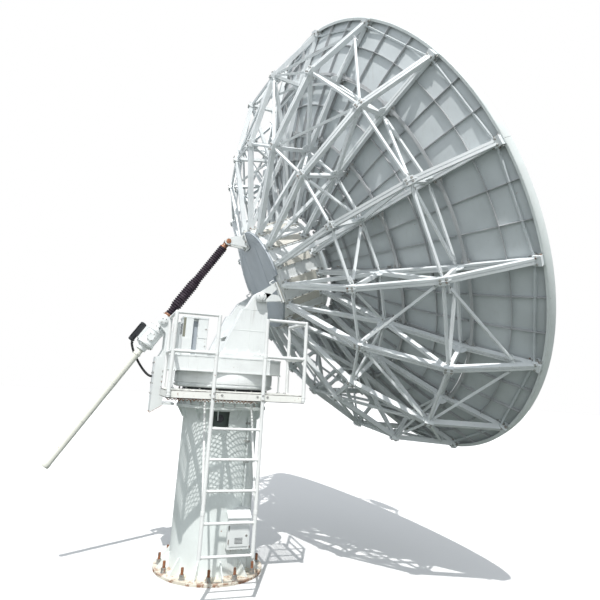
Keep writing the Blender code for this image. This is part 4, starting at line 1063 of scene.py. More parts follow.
def add_base_flange(mats):
    shape = Shape("flange", "zinc", "anchor")
    shape.turned([(0, 0), (FLANGE_R - 0.002, 0), (FLANGE_R, 0.002), (FLANGE_R, FLANGE_T - 0.003),
                  (FLANGE_R - 0.003, FLANGE_T), (0, FLANGE_T)], "flange", sides=96)
    for k in range(BOLTS):
        angle = BOLT_CLOCK + 2 * pi * k / BOLTS
        add_anchor_bolt(shape, angle)
        place = Matrix.Rotation(angle + pi / BOLTS, 4, "Z") @ Matrix.Rotation(pi / 2, 4, "X")
        outline = [(TUBE_R + 0.0005, FLANGE_T - 0.002), (FLANGE_R - 0.03, FLANGE_T - 0.002),
                   (FLANGE_R - 0.03, FLANGE_T + 0.012), (TUBE_R + 0.02, FLANGE_T + 0.158),
                   (TUBE_R + 0.0005, FLANGE_T + 0.158)]
        shape.prism(outline, -0.006, 0.006, "tube", place)
    shape.turned([(TUBE_R + 0.0005, FLANGE_T + 0.012), (TUBE_R + 0.004, FLANGE_T + 0.006),
                  (TUBE_R + 0.012, FLANGE_T - 0.0005)], "flange", sides=96)
    keep(shape, "anchor_flange", mats, "base", "base_paint", "base_flange", bevel=0.0015,
         segments=1)


def around_tube(angle, r, z):
    return Vector((r * cos(angle), r * sin(angle), z))


WELD_Z = 0.94
FLARE_LOW = 1.70
FLARE_HEIGHT = 0.065
FLARE_OUT = 0.05


def add_tube(mats):
    """The pedestal tube with its recess, welds, small gussets and conduit."""
    shape = Shape("tube", "recess", "zinc")
    left, right = (acos(x / TUBE_R) for x in RECESS_X)
    bottom, top = RECESS_Z
    inside = FLANGE_T + 0.0005

    def wall(z):
        return TUBE_R + (FLARE_OUT * max(0.0, z - FLARE_LOW) / FLARE_HEIGHT)

    columns = 96
    gap_start, gap_end = -left, -right
    angles = [gap_end + (2 * pi - (gap_end - gap_start)) * k / columns for k in range(columns + 1)]
    rows = sorted((inside, 0.30, 0.62, WELD_Z, 1.26, bottom, top, FLARE_LOW, TUBE_TOP - 0.0002))
    verts = [around_tube(a, wall(z), z) for z in rows for a in angles]
    count = len(angles)
    faces = [[i * count + k, i * count + k + 1, (i + 1) * count + k + 1, (i + 1) * count + k]
             for i in range(len(rows) - 1) for k in range(columns)]
    shape.put(verts, faces, "tube", True)
    front = [gap_start + (gap_end - gap_start) * k / 8 for k in range(9)]
    for low, high in zip(rows, rows[1:]):
        if bottom <= low < top - 0.001:
            continue
        verts = [around_tube(a, wall(z), z) for z in (low, high) for a in front]
        shape.put(verts, [[k, k + 1, 10 + k, 9 + k] for k in range(8)], "tube", True)
    for z in (inside, TUBE_TOP - 0.0002):
        verts = [around_tube(2 * pi * k / 96, wall(z), z) for k in range(96)]
        shape.put(verts, [list(range(96))], "tube")
    add_recess(shape, bottom, top, wall, front)
    shape.turned([(TUBE_R - 0.001, WELD_Z - 0.004), (TUBE_R + 0.0016, WELD_Z),
                  (TUBE_R - 0.001, WELD_Z + 0.004)], "tube", sides=96)
    shape.tube([around_tube(radians(112), TUBE_R, 0.05), around_tube(radians(112), TUBE_R, 1.69)],
               0.003, "tube", 6)
    for k in range(12):
        a = radians(-90 + 15 + 30 * k)
        place = Matrix.Rotation(a, 4, "Z") @ Matrix.Rotation(pi / 2, 4, "X")
        shape.prism([(TUBE_R - 0.004, 1.655), (TUBE_R + 0.012, 1.64), (TUBE_R + 0.088, 1.7645),
                     (TUBE_R - 0.004, 1.7645)], -0.005, 0.005, "tube", place)
    pipe = radians(-57)
    out = TUBE_R + 0.028
    for z in (1.20, 1.42, 1.62):
        shape.box((-0.03, -0.022, -0.012), (0.02, 0.022, 0.012), "zinc",
                  Matrix.Rotation(pipe, 4, "Z") @ Matrix.Translation((out, 0, z)))
    shape.tube([around_tube(pipe, out, 0.73), around_tube(pipe, out, 1.70)], 0.012, "tube", 14)
    keep(shape, "pedestal_column", mats, "base", "white_paint", "pedestal_tube")


def add_recess(shape, bottom, top, wall, front):
    """The recess under the tube's head, painted dark green as painted shade for its shadowed inside, with
    a small flanged socket in it.
    """
    low_x, high_x = RECESS_X
    back = RECESS_BACK
    outer = [around_tube(a, wall(bottom), 0) for a in front]
    for z in (bottom, top):
        edge = [Vector((p.x, p.y, z)) for p in outer]
        verts = edge + [Vector((high_x, back, z)), Vector((low_x, back, z))]
        shape.put(verts, [list(range(len(verts)))], "recess")
    for end, x in ((outer[0], low_x), (outer[-1], high_x)):
        verts = [(end.x, end.y, bottom), (x, back, bottom), (x, back, top), (end.x, end.y, top)]
        shape.put(verts, [[0, 1, 2, 3]], "recess")
    shape.put([(low_x, back, bottom), (high_x, back, bottom), (high_x, back, top),
               (low_x, back, top)], [[0, 1, 2, 3]], "recess")
    socket = facing((-0.08, back, 1.66), (0, -1, 0))
    shape.turned([(0, 0), (0.045, 0), (0.045, 0.012), (0.030, 0.012), (0.030, 0.035), (0, 0.035)],
                 "dark", socket, 20)


def add_pedestal_head(mats):
    shape = Shape("tube", "zinc")
    low, high = TUBE_TOP + 0.0005, 1.88
    shape.turned([(0, low), (0.548, low), (0.55, low + 0.002), (0.55, 1.800), (0.512, 1.804),
                  (0.512, 1.842), (0.55, 1.846), (0.55, high - 0.002), (0.548, high), (0, high)],
                 "tube", sides=96)
    for k in range(24):
        a = 2 * pi * k / 24 + 0.1
        shape.tube([around_tube(a, 0.530, 1.80), around_tube(a, 0.530, 1.846)], 0.008, "zinc", 8)
        shape.bolt(around_tube(a, 0.528, 1.88), (0, 0, 1), 0.022)
    keep(shape, "pedestal_head", mats, "base", "white_paint", "top_flange", bevel=0.001, segments=1)
    race = Shape("dark", "zinc")
    race.turned([(0, 1.8805), (0.498, 1.8805), (0.50, 1.884), (0.50, 1.93), (0.494, 1.934),
                 (0.494, 1.944), (0.50, 1.948), (0.50, 1.994), (0.496, 1.9998), (0, 1.9998)],
                "dark", sides=96)
    for k in range(40):
        a = 2 * pi * k / 40
        race.bolt(around_tube(a, 0.496, 1.965), (cos(a), sin(a), 0), 0.016, "zinc")
    for k in range(16):
        a = 2 * pi * k / 16 + radians(4)
        race.tube([around_tube(a, 0.545, 1.889), around_tube(a, 0.545, 1.994)], 0.010, "zinc", 10)
        race.prism(ring(0.018, 6), 0.0, 0.016, "zinc",
                   Matrix.Translation(around_tube(a, 0.545, 1.889)))
    keep(race, "slewing_ring", mats, "base", "dark_steel", "azimuth_bearing")


def add_tube_box(mats):
    """The sloping-hooded junction box low on the pedestal."""
    shape = Shape("white", "dark", "zinc")
    low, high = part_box("tube_box")
    front, back = low.y, -0.44
    roof = 0.64
    place = Matrix(((0, 0, 1, 0), (1, 0, 0, 0), (0, 1, 0, 0), (0, 0, 0, 1)))
    side = [(front + 0.012, low.z), (-0.41, low.z), (-0.41, high.z - 0.01), (front + 0.012, roof)]
    shape.prism(side, low.x + 0.012, high.x - 0.012, "white", place)
    hood = [(front, roof - 0.012), (front, roof), (-0.402, high.z), (-0.402, high.z - 0.012)]
    shape.prism(hood, low.x, high.x, "white", place)
    shape.box((low.x + 0.03, front + 0.004, low.z + 0.03), (high.x - 0.03, front + 0.0125, roof - 0.045),
              "white")
    for z in (low.z + 0.08, roof - 0.10):
        shape.tube([(low.x + 0.024, front + 0.006, z - 0.022), (low.x + 0.024, front + 0.006, z + 0.022)],
                   0.006, "zinc", 10)
    shape.turned([(0, 0), (0.013, 0), (0.013, 0.004), (0.009, 0.006), (0, 0.006)], "zinc",
                 facing((high.x - 0.05, front + 0.004, 0.46), (0, -1, 0)), 16)
    # Louvres as thin dark strips on the front: painted shade for the slots between the blades.
    for k in range(5):
        z = low.z + 0.06 + 0.013 * k
        shape.box((low.x + 0.09, front + 0.001, z), (high.x - 0.09, front + 0.006, z + 0.005), "dark")
    for x in (low.x + 0.07, low.x + 0.13, low.x + 0.19):
        shape.turned([(0, 0), (0.014, 0), (0.014, -0.012), (0.010, -0.02), (0, -0.02)], "zinc",
                     Matrix.Translation((x, back - 0.03, low.z)), 14)
    keep(shape, "junction_box", mats, "base", "white_paint", "tube_box", bevel=0.002)


# Turret and yoke
HOUSING = ((-0.74, -0.40), (-0.55, -0.62), (0.42, -0.62), (0.62, -0.40), (0.62, 0.40), (0.42, 0.62),
           (-0.55, 0.62), (-0.74, 0.40))
HOUSING_LOW = 2.1803
HOUSING_TOP = 2.36


def shrunk(outline, amount):
    """The outline drawn in towards its middle by about an amount."""
    middle = sum((Vector(p) for p in outline), Vector((0, 0))) / len(outline)
    result = []
    for p in outline:
        spoke = Vector(p) - middle
        result.append(tuple(middle + spoke * (1 - amount / spoke.length)))
    return result


def add_turret(mats):
    drum = Shape("white")
    drum.turned([(0, 2.0008), (0.575, 2.0008), (0.578, 2.003), (0.604, 2.012), (0.607, 2.016),
                 (0.607, 2.036), (0.600, 2.040), (0.596, 2.043), (0.596, 2.050), (0.609, 2.053),
                 (0.610, 2.058), (0.610, 2.168), (0.607, 2.172), (0.607, 2.1798), (0, 2.1798)],
                "white", sides=96)
    for k in range(24):
        a = 2 * pi * k / 24 + 0.05
        drum.bolt(around_tube(a, 0.607, 2.026), (cos(a), sin(a), 0), 0.013, "white")
    keep(drum, "turret_skirt", mats, "turret", "white_paint", "turret_drum")
    house = Shape("white")
    house.prism(shrunk(HOUSING, 0.006), HOUSING_LOW, HOUSING_TOP - 0.004, "white")
    house.prism(HOUSING, HOUSING_LOW + 0.0002, HOUSING_LOW + 0.014, "white")
    house.prism(HOUSING, HOUSING_TOP - 0.016, HOUSING_TOP, "white")
    for a, b in zip(HOUSING, HOUSING[1:] + HOUSING[:1]):
        run = Vector(b) - Vector(a)
        count = max(1, int(run.length / 0.16))
        normal = Vector((run.y, -run.x, 0)).normalized()
        for k in range(count):
            spot = Vector(a) + run * (k + 0.5) / count
            house.bolt(Vector((spot.x, spot.y, HOUSING_TOP - 0.008)), normal, 0.010, "white")
    keep(house, "turret_body", mats, "turret", "white_paint", "turret_housing", bevel=0.004)


ARM_Y = (0.37, 0.531)
ARM_HEAD_R = 0.068
ARM_FOOT = 2.4003
ARM_BACK, ARM_FRONT = -0.17, 0.38
ARM_FRONT_SHOULDER = (0.37, 2.95)
ARM_NECK = (0.105, 2.968)
ARM_SHOULDER = (0.06, 2.956)
ARM_BACK_SLOPE = (ARM_SHOULDER[0] - ARM_BACK) / (ARM_SHOULDER[1] - ARM_FOOT)
ARM_HEAD_START = radians(11)
ARM_HEAD_TURN = radians(136)


def yoke_outline():
    """The side of a yoke arm: a wide foot, a sloping back, shoulders and a small round head."""
    head = arc(ARM_HEAD_R, ARM_HEAD_START, ARM_HEAD_TURN, 20, (AXIS.x, AXIS.z))
    return [(ARM_BACK, ARM_FOOT), (ARM_FRONT, ARM_FOOT), ARM_FRONT_SHOULDER, *head, ARM_NECK,
            ARM_SHOULDER]


def add_yoke(mats):
    for name, way in (("near", -1), ("far", 1)):
        shape = Shape("white", "zinc")
        inner, outer = (way * y for y in ARM_Y)
        low, high = sorted((-inner, -outer))
        shape.prism(yoke_outline(), low, high, "white", SIDE_ON)
        for z in (2.69, 2.945):
            left = ARM_BACK + (z - ARM_FOOT) * ARM_BACK_SLOPE
            shape.weld([(left, outer, z), (0.372, outer, z)], 0.0035, "white")
        shape.weld([(0.165, outer, 2.41), (0.165, outer, 2.94)], 0.003, "white")
        for z in (2.99, 3.02, 3.05):
            shape.bolt((0.345, outer, z), (0, way, 0), 0.012, "white")
        shape.box((-0.19, outer, ARM_FOOT), (0.40, outer + way * 0.03, 2.416), "white")
        for x in (-0.12, 0.02, 0.16, 0.30):
            rib = [(0, 2.41), (way * 0.045, 2.41), (0, 2.47)]
            shape.put([(x - 0.004, outer + y, z) for y, z in rib]
                      + [(x + 0.004, outer + y, z) for y, z in rib],
                      [[0, 1, 2], [5, 4, 3], [0, 3, 4, 1], [1, 4, 5, 2], [2, 5, 3, 0]], "white")
        axle = facing((AXIS.x, outer, AXIS.z), (0, way, 0))
        shape.turned([(0, 0.0), (0.062, 0.0), (0.062, 0.008), (0.056, 0.011), (PIN_R, 0.011),
                      (PIN_R, 0.081), (0, 0.081)], "white", axle, 40)
        shape.turned([(0, 0.0815), (0.044, 0.0815), (0.048, 0.085), (0.048, 0.094), (0.044, 0.098),
                      (0.031, 0.098), (0.031, 0.102), (0.028, 0.104), (0, 0.104)], "white", axle, 32)
        shape.bolt_circle(3, 0.039, 0.098, 0.008, axle, 0.5)
        keep(shape, f"yoke_{name}", mats, "turret", "white_paint", f"yoke_arm_{name}", bevel=0.003)
    web = Shape("white", "recess")
    foot, slot, head = ARM_FOOT, (2.585, 2.645), 2.74

    def sides(z):
        share = (z - foot) / (head - foot)
        return -0.13 + 0.17 * share, 0.33 - 0.05 * share

    for low, high in ((foot, slot[0]), (slot[1], head)):
        (a, b), (c, d) = sides(low), sides(high)
        web.prism([(a, low), (b, low), (d, high), (c, high)], -0.3695, 0.3695, "white", SIDE_ON)
    # A dark box in the slot between the two web plates: painted shade for the shadowed gap under the
    # upper plate.
    middle = sides(slot[0])
    web.box((middle[0] + 0.09, -0.3695, slot[0] - 0.001), (middle[1] - 0.012, 0.3695, slot[1] + 0.001),
            "recess")
    keep(web, "yoke_crosspiece", mats, "turret", "white_paint", "yoke_web", bevel=0.003)
    plate = Shape("white")
    low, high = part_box("yoke_base_plate")
    plate.box(low, high, "white")
    for x in (-0.21, -0.10, 0.01, 0.12, 0.23, 0.34, 0.42):
        for y in (low.y + 0.022, high.y - 0.022):
            plate.bolt((x, y, high.z), (0, 0, 1), 0.024, "white")
    for y in (-0.40, -0.20, 0, 0.20, 0.40):
        for x in (low.x + 0.025, high.x - 0.025):
            plate.bolt((x, y, high.z), (0, 0, 1), 0.024, "white")
    keep(plate, "yoke_plate", mats, "turret", "white_paint", "yoke_base_plate", bevel=0.003)


CABINET_CHANNEL = (0.118, 0.176)
CHANNEL_DEPTH = 0.06
OLIVE_STRIP = (0.032, 0.22)


def add_cabinet(name, way, mats):
    """A drive cabinet: a plain side, a channel whose back is painted grey as painted shade, a side with
    two doors, and louvres drawn as dark strips of painted shade.
    """
    low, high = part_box(name)
    shape = Shape("white", "olive", "cover", "zinc", "dark")
    face, back = (low.y, high.y) if way < 0 else (high.y, low.y)
    set_back = face - way * CHANNEL_DEPTH
    channel = [low.x + x for x in CABINET_CHANNEL]
    top = high.z - 0.02

    def block(x0, x1, y0, y1, z0, z1, look):
        shape.box((x0, y0, z0), (x1, y1, z1), look)

    block(low.x + 0.006, high.x - 0.006, set_back, back + way * 0.010, low.z, top, "white")
    block(low.x + 0.006, channel[0], face - way * 0.004, set_back + way * 0.001, low.z, top, "white")
    block(channel[1], high.x - 0.006, face - way * 0.010, set_back + way * 0.001, low.z, top, "white")
    # The channel's back takes the darker grey cover paint: painted shade for the shaded inside of the
    # channel.
    block(channel[0] - 0.001, channel[1] + 0.001, set_back + way * 0.002, set_back - way * 0.002,
          low.z + 0.01, top - 0.03, "cover")
    block(low.x, high.x, face - way * 0.001, back + way * 0.001, high.z - 0.022, high.z, "white")
    block(low.x + 0.004, low.x + OLIVE_STRIP[0], face, face - way * 0.006, top - OLIVE_STRIP[1], top,
          "olive")
    split = (low.z + high.z) / 2 - 0.03
    block(low.x + 0.006, channel[0] - 0.02, face, face - way * 0.006, low.z + 0.02, split, "white")
    for bottom, level in ((low.z + 0.02, split - 0.004), (split + 0.004, high.z - 0.035)):
        block(channel[1] + 0.008, high.x - 0.012, face - way * 0.001, face - way * 0.011, bottom, level,
              "white")
        for z in (bottom + 0.04, level - 0.04):
            shape.tube([(channel[1] + 0.006, face - way * 0.006, z - 0.018),
                        (channel[1] + 0.006, face - way * 0.006, z + 0.018)], 0.005, "white", 10)
        shape.disc(0.010, 0.003, "zinc", facing((high.x - 0.030, face - way * 0.001,
                                                 (bottom + level) / 2), (0, way, 0)), 14)
    # Louvres as thin dark strips on the side: painted shade for the slots between the blades.
    for k in range(7):
        z = split + 0.05 + 0.018 * k
        shape.box((low.x + 0.0005, low.y + 0.07, z), (low.x + 0.007, high.y - 0.07, z + 0.007), "dark")
    keep(shape, f"drive_{name}", mats, "turret", "white_paint", name, bevel=0.002)


# Platform, rails and ladder
DECK_LEFT, DECK_RIGHT = -0.81, 0.667
DECK_FRONT, DECK_BACK = -1.155, -0.45
BEAM_LOW, DECK_TOP = 1.897, 1.975
DECK_CUT_R = 0.64
MESH_X, MESH_Y = 0.074, 0.034
ZIGZAG_PITCH = 0.0185
ZIGZAG_DEPTH = 0.016
ZIGZAG_TEETH = 52


def add_mesh(shape, low, high, z, thick, width, look, keeps):
    """Expanded metal: a diamond lattice of thin strands between two corners."""
    columns = int((high[0] - low[0]) / MESH_X * 2)
    rows = int((high[1] - low[1]) / MESH_Y * 2)
    for i in range(columns):
        for j in range(rows):
            x0, x1 = low[0] + i * MESH_X / 2, low[0] + (i + 1) * MESH_X / 2
            y0, y1 = low[1] + j * MESH_Y / 2, low[1] + (j + 1) * MESH_Y / 2
            if (i + j) % 2:
                y0, y1 = y1, y0
            if not (keeps(x0, y0) and keeps(x1, y1)):
                continue
            a, b = Vector((x0, y0)), Vector((x1, y1))
            side = Vector((-(b - a).y, (b - a).x)).normalized() * width / 2
            corners = [a + side, a - side, b - side, b + side]
            lift = thick * 0.5 * (1 if j % 2 else -1)
            verts = [(p.x, p.y, z + lift * (0.3 if n < 2 else -0.3)) for n, p in enumerate(corners)]
            verts += [(x, y, w + thick) for x, y, w in verts]
            shape.put(verts, SLAB_FACES, look)


DECK_CUT_HALF = 0.455


def add_platform(mats):
    shape = Shape("deck", "mesh_edge", "zinc")
    web, leg = 0.006, 0.045

    def angle_beam(start, end, inward):
        """An angle section: a web standing up and a leg turned inwards at its top."""
        a, b = Vector(start), Vector(end)
        inward = Vector(inward)
        for wide, low, high in ((web, BEAM_LOW, DECK_TOP), (leg, DECK_TOP - web, DECK_TOP),
                                (leg * 0.7, BEAM_LOW, BEAM_LOW + web)):
            points = [a, b, b + inward * wide, a + inward * wide]
            verts = [(p.x, p.y, low) for p in points] + [(p.x, p.y, high) for p in points]
            shape.put(verts, SLAB_FACES, "deck")

    corners = ((DECK_LEFT, DECK_FRONT), (DECK_RIGHT, DECK_FRONT))
    angle_beam(corners[0], corners[1], (0, 1))
    angle_beam(corners[0], (DECK_LEFT, DECK_BACK), (1, 0))
    angle_beam(corners[1], (DECK_RIGHT, DECK_BACK), (-1, 0))
    for x in (-0.50, -0.16, 0.18, 0.42):
        back = -(DECK_CUT_R ** 2 - x * x) ** 0.5 - 0.004
        shape.box((x - 0.0225, DECK_FRONT + web, BEAM_LOW + 0.012), (x - 0.0165, back, DECK_TOP - 0.016),
                  "deck")
        shape.box((x - 0.0225, DECK_FRONT + web, BEAM_LOW + 0.012),
                  (x + 0.0225, back, BEAM_LOW + 0.018), "deck")
    start = atan2(-DECK_BACK, DECK_CUT_HALF)
    cut = arc(DECK_CUT_R, -start, 2 * start - pi, 24)
    for a, b in zip(cut, cut[1:]):
        outer = [(x * 1.008, y * 1.008) for x, y in (b, a)]
        shape.prism([a, b] + outer, BEAM_LOW + 0.04, DECK_TOP, "deck")
    for x, edge in ((-cut[0][0], DECK_LEFT), (cut[0][0], DECK_RIGHT)):
        shape.box((x, DECK_BACK - 0.006, BEAM_LOW + 0.03), (edge, DECK_BACK, DECK_TOP), "deck")

    def on_deck(x, y):
        return hypot(x, y) > DECK_CUT_R + 0.004 and DECK_LEFT < x < DECK_RIGHT and y < DECK_BACK

    add_mesh(shape, (DECK_LEFT + 0.004, DECK_FRONT + 0.004), (DECK_RIGHT - 0.004, DECK_BACK), DECK_TOP,
             0.004, 0.007, "deck", on_deck)
    add_mesh(shape, (DECK_LEFT + 0.012, DECK_FRONT + 0.002), (0.16, DECK_FRONT + 0.055),
             BEAM_LOW - 0.004, 0.0035, 0.008, "mesh_edge", lambda x, y: True)
    for x in (-0.36, -0.24, 0.14, 0.25):
        shape.bolt((x, DECK_FRONT, 1.945), (0, -1, 0), 0.014, "zinc")
    teeth = [(DECK_LEFT + 0.012 + ZIGZAG_PITCH * k, DECK_FRONT + 0.010 + 0.012 * (k % 2),
              BEAM_LOW - 0.004 - ZIGZAG_DEPTH * (k % 2)) for k in range(ZIGZAG_TEETH)]
    shape.tube(teeth, 0.0045, "mesh_edge", 6)
    keep(shape, "platform_grating", mats, "turret", "platform_steel", "platform_deck")
    for name in ("platform_hanger_left", "platform_hanger_right"):
        low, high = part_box(name)
        bracket = Shape("white", "zinc")
        middle = (low.x + high.x) / 2
        bracket.box((middle - 0.005, low.y, low.z), (middle + 0.005, high.y, high.z), "white")
        bracket.box((low.x, low.y, low.z), (high.x, high.y, low.z + 0.008), "white")
        bracket.box((low.x, low.y, high.z - 0.010), (high.x, high.y, high.z), "white")
        for x in (low.x + 0.008, high.x - 0.008):
            bracket.bolt((x, (low.y + high.y) / 2, low.z + 0.008), (0, 0, 1), 0.012)
        keep(bracket, name.replace("platform_", "deck_"), mats, "turret", "white_paint", name,
             bevel=0.001, segments=1)


RAIL_R = 0.02
RAIL_Y = DECK_FRONT - RAIL_R - 0.0003
RAIL_TOP, RAIL_MID = 2.759, 2.365
LADDER_LEFT, LADDER_RIGHT = -0.338, 0.192


def add_railings(mats):
    for name, corner, gate in (("railing_left", DECK_LEFT + RAIL_R, LADDER_LEFT),
                               ("railing_right", DECK_RIGHT - RAIL_R, LADDER_RIGHT)):
        shape = Shape("rail", "zinc")
        way = 1 if gate > corner else -1
        end = gate - way * (RAIL_R + 0.0003)
        back = -0.60
        ball = [(RAIL_R * 1.03 * sin(pi * k / 8), -RAIL_R * 1.03 * cos(pi * k / 8)) for k in range(9)]
        for y, foot in ((RAIL_Y, BEAM_LOW + 0.01), (back, DECK_TOP + 0.0005)):
            shape.tube([(corner, y, foot), (corner, y, RAIL_TOP)], RAIL_R, "rail", 16)
        for level in (RAIL_MID, RAIL_TOP):
            for x, y in ((end, RAIL_Y), (corner, back)):
                shape.tube([(corner, RAIL_Y, level), (x, y, level)], RAIL_R * 0.9, "rail", 16)
            for y in (RAIL_Y, back):
                shape.turned(ball, "rail", Matrix.Translation((corner, y, level)), 16)
        shape.box((corner - 0.035, back - 0.035, DECK_TOP + 0.0003),
                  (corner + 0.018, back + 0.035, DECK_TOP + 0.008), "rail")
        for y in (back - 0.026, back + 0.026):
            shape.bolt((corner - 0.024, y, DECK_TOP + 0.008), (0, 0, 1), 0.012)
        for z in (1.925, 1.955):
            shape.disc(RAIL_R * 1.15, 0.010, "rail", Matrix.Translation((corner, RAIL_Y, z)), 16)
        keep(shape, f"guard_{name}", mats, "turret", "white_paint", name)


def add_ladder(mats):
    shape = Shape("rail", "zinc")
    for x in (LADDER_LEFT, LADDER_RIGHT):
        shape.tube([(x, RAIL_Y, 0.436), (x, RAIL_Y, RAIL_TOP + 0.004)], RAIL_R, "rail", 16)
        cap = [(RAIL_R, 0), (RAIL_R * 0.9, 0.004), (0, 0.0055)]
        shape.turned(cap, "rail", Matrix.Translation((x, RAIL_Y, RAIL_TOP + 0.004)), 16)
        shape.tube([(x, RAIL_Y + 0.012, 0.85), (x, -0.69, 1.932)], 0.0125, "rail", 12)
        shape.box((x - 0.03, -0.73, 1.930), (x + 0.03, -0.66, 1.9445), "rail")
        for y in (-0.715, -0.675):
            shape.bolt((x + 0.02, y, 1.930), (0, 0, -1), 0.014)
        for z in (0.84, RAIL_MID, 1.935):
            shape.disc(RAIL_R * 1.18, 0.034, "rail", Matrix.Translation((x, RAIL_Y, z - 0.017)), 18)
        way = 1 if x < 0 else -1
        for z in (1.912, 1.958):
            shape.bolt((x + way * 0.004, RAIL_Y - RAIL_R, z), (0, -1, 0), 0.013)
    for k in range(5):
        level = 0.456 + 0.2906 * k
        shape.tube([(LADDER_LEFT, RAIL_Y, level), (LADDER_RIGHT, RAIL_Y, level)], 0.014, "rail", 14)
        for x in (LADDER_LEFT, LADDER_RIGHT):
            way = 1 if x < 0 else -1
            start = x + way * RAIL_R * 0.8
            shape.turned([(0.0195, 0), (0.0185, 0.004), (0.014, 0.009)], "rail",
                         facing((start, RAIL_Y, level), (way, 0, 0)), 14)
    keep(shape, "access_ladder", mats, "turret", "white_paint", "ladder")


# Elevation jack
def add_jack_arm(mats):
    """The column behind the turret: a channel with a bolted cap, and the trunnion's fork."""
    shape = Shape("white", "zinc", "mesh_edge")
    low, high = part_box("jack_arm")
    right = -0.7403
    left = right - 0.135
    shape.prism([(left + 0.004, 1.70), (right, 1.782), (right, 2.33), (left + 0.004, 2.33)], -0.158,
                0.158, "white", SIDE_ON)
    for y in (-0.17, 0.158):
        shape.prism([(left, 1.685), (right, 1.77), (right, 2.333), (left, 2.333)], -y - 0.012, -y,
                    "white", SIDE_ON)
    shape.prism([(left, 1.685), (right, 1.77), (right, 1.776), (left, 1.691)], -0.171, 0.171,
                "mesh_edge", SIDE_ON)
    for z in (1.90, 2.02, 2.14, 2.26):
        for y in (-0.13, 0.13):
            shape.bolt((left + 0.004, y, z), (-1, 0, 0), 0.018)
    for z in (1.98, 2.04, 2.10, 2.16):
        shape.bolt((right - 0.03, -0.17, z), (0, -1, 0), 0.016)
    shape.box((right - 0.01, -0.16, 1.78), (-0.60, 0.16, 1.805), "white")
    eye = arc(0.07, radians(-20), radians(230), 20, (TRUNNION.x, TRUNNION.z))
    outline = [(left + 0.02, 2.30), (right, 2.30), (right, 2.37), (-0.705, 2.42), (-0.705, 2.62)]
    for inner, outer in ((0.135, 0.16), (-0.16, -0.135)):
        shape.prism(outline + eye + [(-0.79, 2.61), (-0.79, 2.43)], -outer, -inner, "white", SIDE_ON)
        way = 1 if inner > 0 else -1
        face = 0.16 * way
        boss = facing((TRUNNION.x, face, TRUNNION.z), (0, way, 0))
        shape.turned([(0.030, -0.001), (0.062, -0.001), (0.062, 0.003), (0.058, 0.005),
                      (0.030, 0.005)], "white", boss, 32)
    keep(shape, "jack_column", mats, "turret", "white_paint", "jack_arm", bevel=0.002)


def add_gearbox(mats):
    """The jack's gear housing: a drum between flanges, its trunnions and cover plates."""
    shape = Shape("white", "zinc", "copper")
    shape.move = JACK
    shape.turned([(0.030, -0.4195), (0.060, -0.4195), (0.062, -0.416), (0.062, -0.372),
                  (0.091, -0.362), (0.096, -0.352), (0.110, -0.342), (0.1115, -0.335),
                  (0.1115, -0.318), (0.106, -0.314), (0.104, -0.308), (0.104, -0.160),
                  (0.106, -0.154), (0.1115, -0.150), (0.1115, -0.112), (0.108, -0.104),
                  (0.088, -0.092), (0.080, -0.082), (0.0755, 0.030), (0.070, 0.060),
                  (0.062, 0.070), (0.062, 0.0995), (0.030, 0.0995)], "white", sides=56)
    for k in range(12):
        a = 2 * pi * k / 12 + 0.2
        shape.bolt((0.098 * cos(a), 0.098 * sin(a), -0.099), (0, 0, 1), 0.012)
        shape.bolt((0.103 * cos(a), 0.103 * sin(a), -0.348), (0, 0, -1), 0.010)
    for side in (-1, 1):
        stub = facing((0, side * 0.06, 0), (0, side, 0))
        shape.turned([(0, 0), (0.040, 0), (0.040, 0.050), (0.027, 0.055), (0.027, 0.105),
                      (0.044, 0.106), (0.045, 0.110), (0.045, 0.121), (0.040, 0.125), (0, 0.125)],
                     "white", stub, 32)
        shape.bolt_circle(4, 0.030, 0.125, 0.009, stub, 0.4)
        plug = facing((0, side * 0.1008, -0.235), (0, side, 0))
        shape.turned([(0, 0), (0.048, 0), (0.050, 0.004), (0.050, 0.008), (0.036, 0.011),
                      (0.034, 0.009), (0, 0.009)], "white", plug, 32)
        shape.bolt_circle(6, 0.043, 0.009, 0.008, plug)
    shape.box((-0.1238, -0.059, -0.329), (-0.09, 0.059, -0.151), "white")
    shape.turned([(0.0625, 0.088), (0.066, 0.090), (0.066, 0.098), (0.062, 0.0995)], "copper",
                 sides=40)
    keep(shape, "jack_gear_housing", mats, "jack", "white_paint", "jack_gearbox", bevel=0.0015,
         segments=1)


def add_motor(mats):
    """The finned motor beside the gear housing, with a terminal box and the cable's gland."""
    shape = Shape("black", "zinc")
    shape.move = JACK
    middle = ADAPTOR_END - 0.0003 - MOTOR_R * cos(pi / 12)
    axle = Matrix.Translation((middle, MOTOR_Y, 0))
    shape.turned([(0, -0.3995), (0.028, -0.3995), (0.038, -0.394), (0.0405, -0.386),
                  (0.0405, -0.372), (0.034, -0.368), (0.034, -0.172), (0.0405, -0.168),
                  (0.0405, -0.152), (0.032, -0.144), (0.022, -0.1405), (0, -0.1405)], "black", axle,
                 36)
    for k in range(16):
        a = 2 * pi * k / 16
        if abs(a) < 0.5 or abs(a - 2 * pi) < 0.5:
            continue
        fin = axle @ Matrix.Rotation(a, 4, "Z")
        shape.box((0.031, -0.0014, -0.366), (0.0405, 0.0014, -0.174), "black", fin)
    shape.box((middle, 0.006, -0.318), (-0.1245, 0.054, -0.162), "black")
    shape.box((middle - 0.028, 0.058, -0.33), (middle + 0.022, 0.080, -0.22), "black")
    for z in (-0.32, -0.23):
        shape.bolt((middle - 0.018, 0.080, z), (0, 1, 0), 0.007)
    start = JACK.inverted() @ Vector(CABLE_ROUTE[0])
    gland = facing((start.x, start.y, -0.3995), (0, 0, -1))
    shape.turned([(0, 0), (0.020, 0), (0.020, 0.008), (0.017, 0.012), (0, 0.012)], "black", gland, 18)
    keep(shape, "drive_motor", mats, "jack", "black_paint", "jack_motor", bevel=0.001, segments=1)


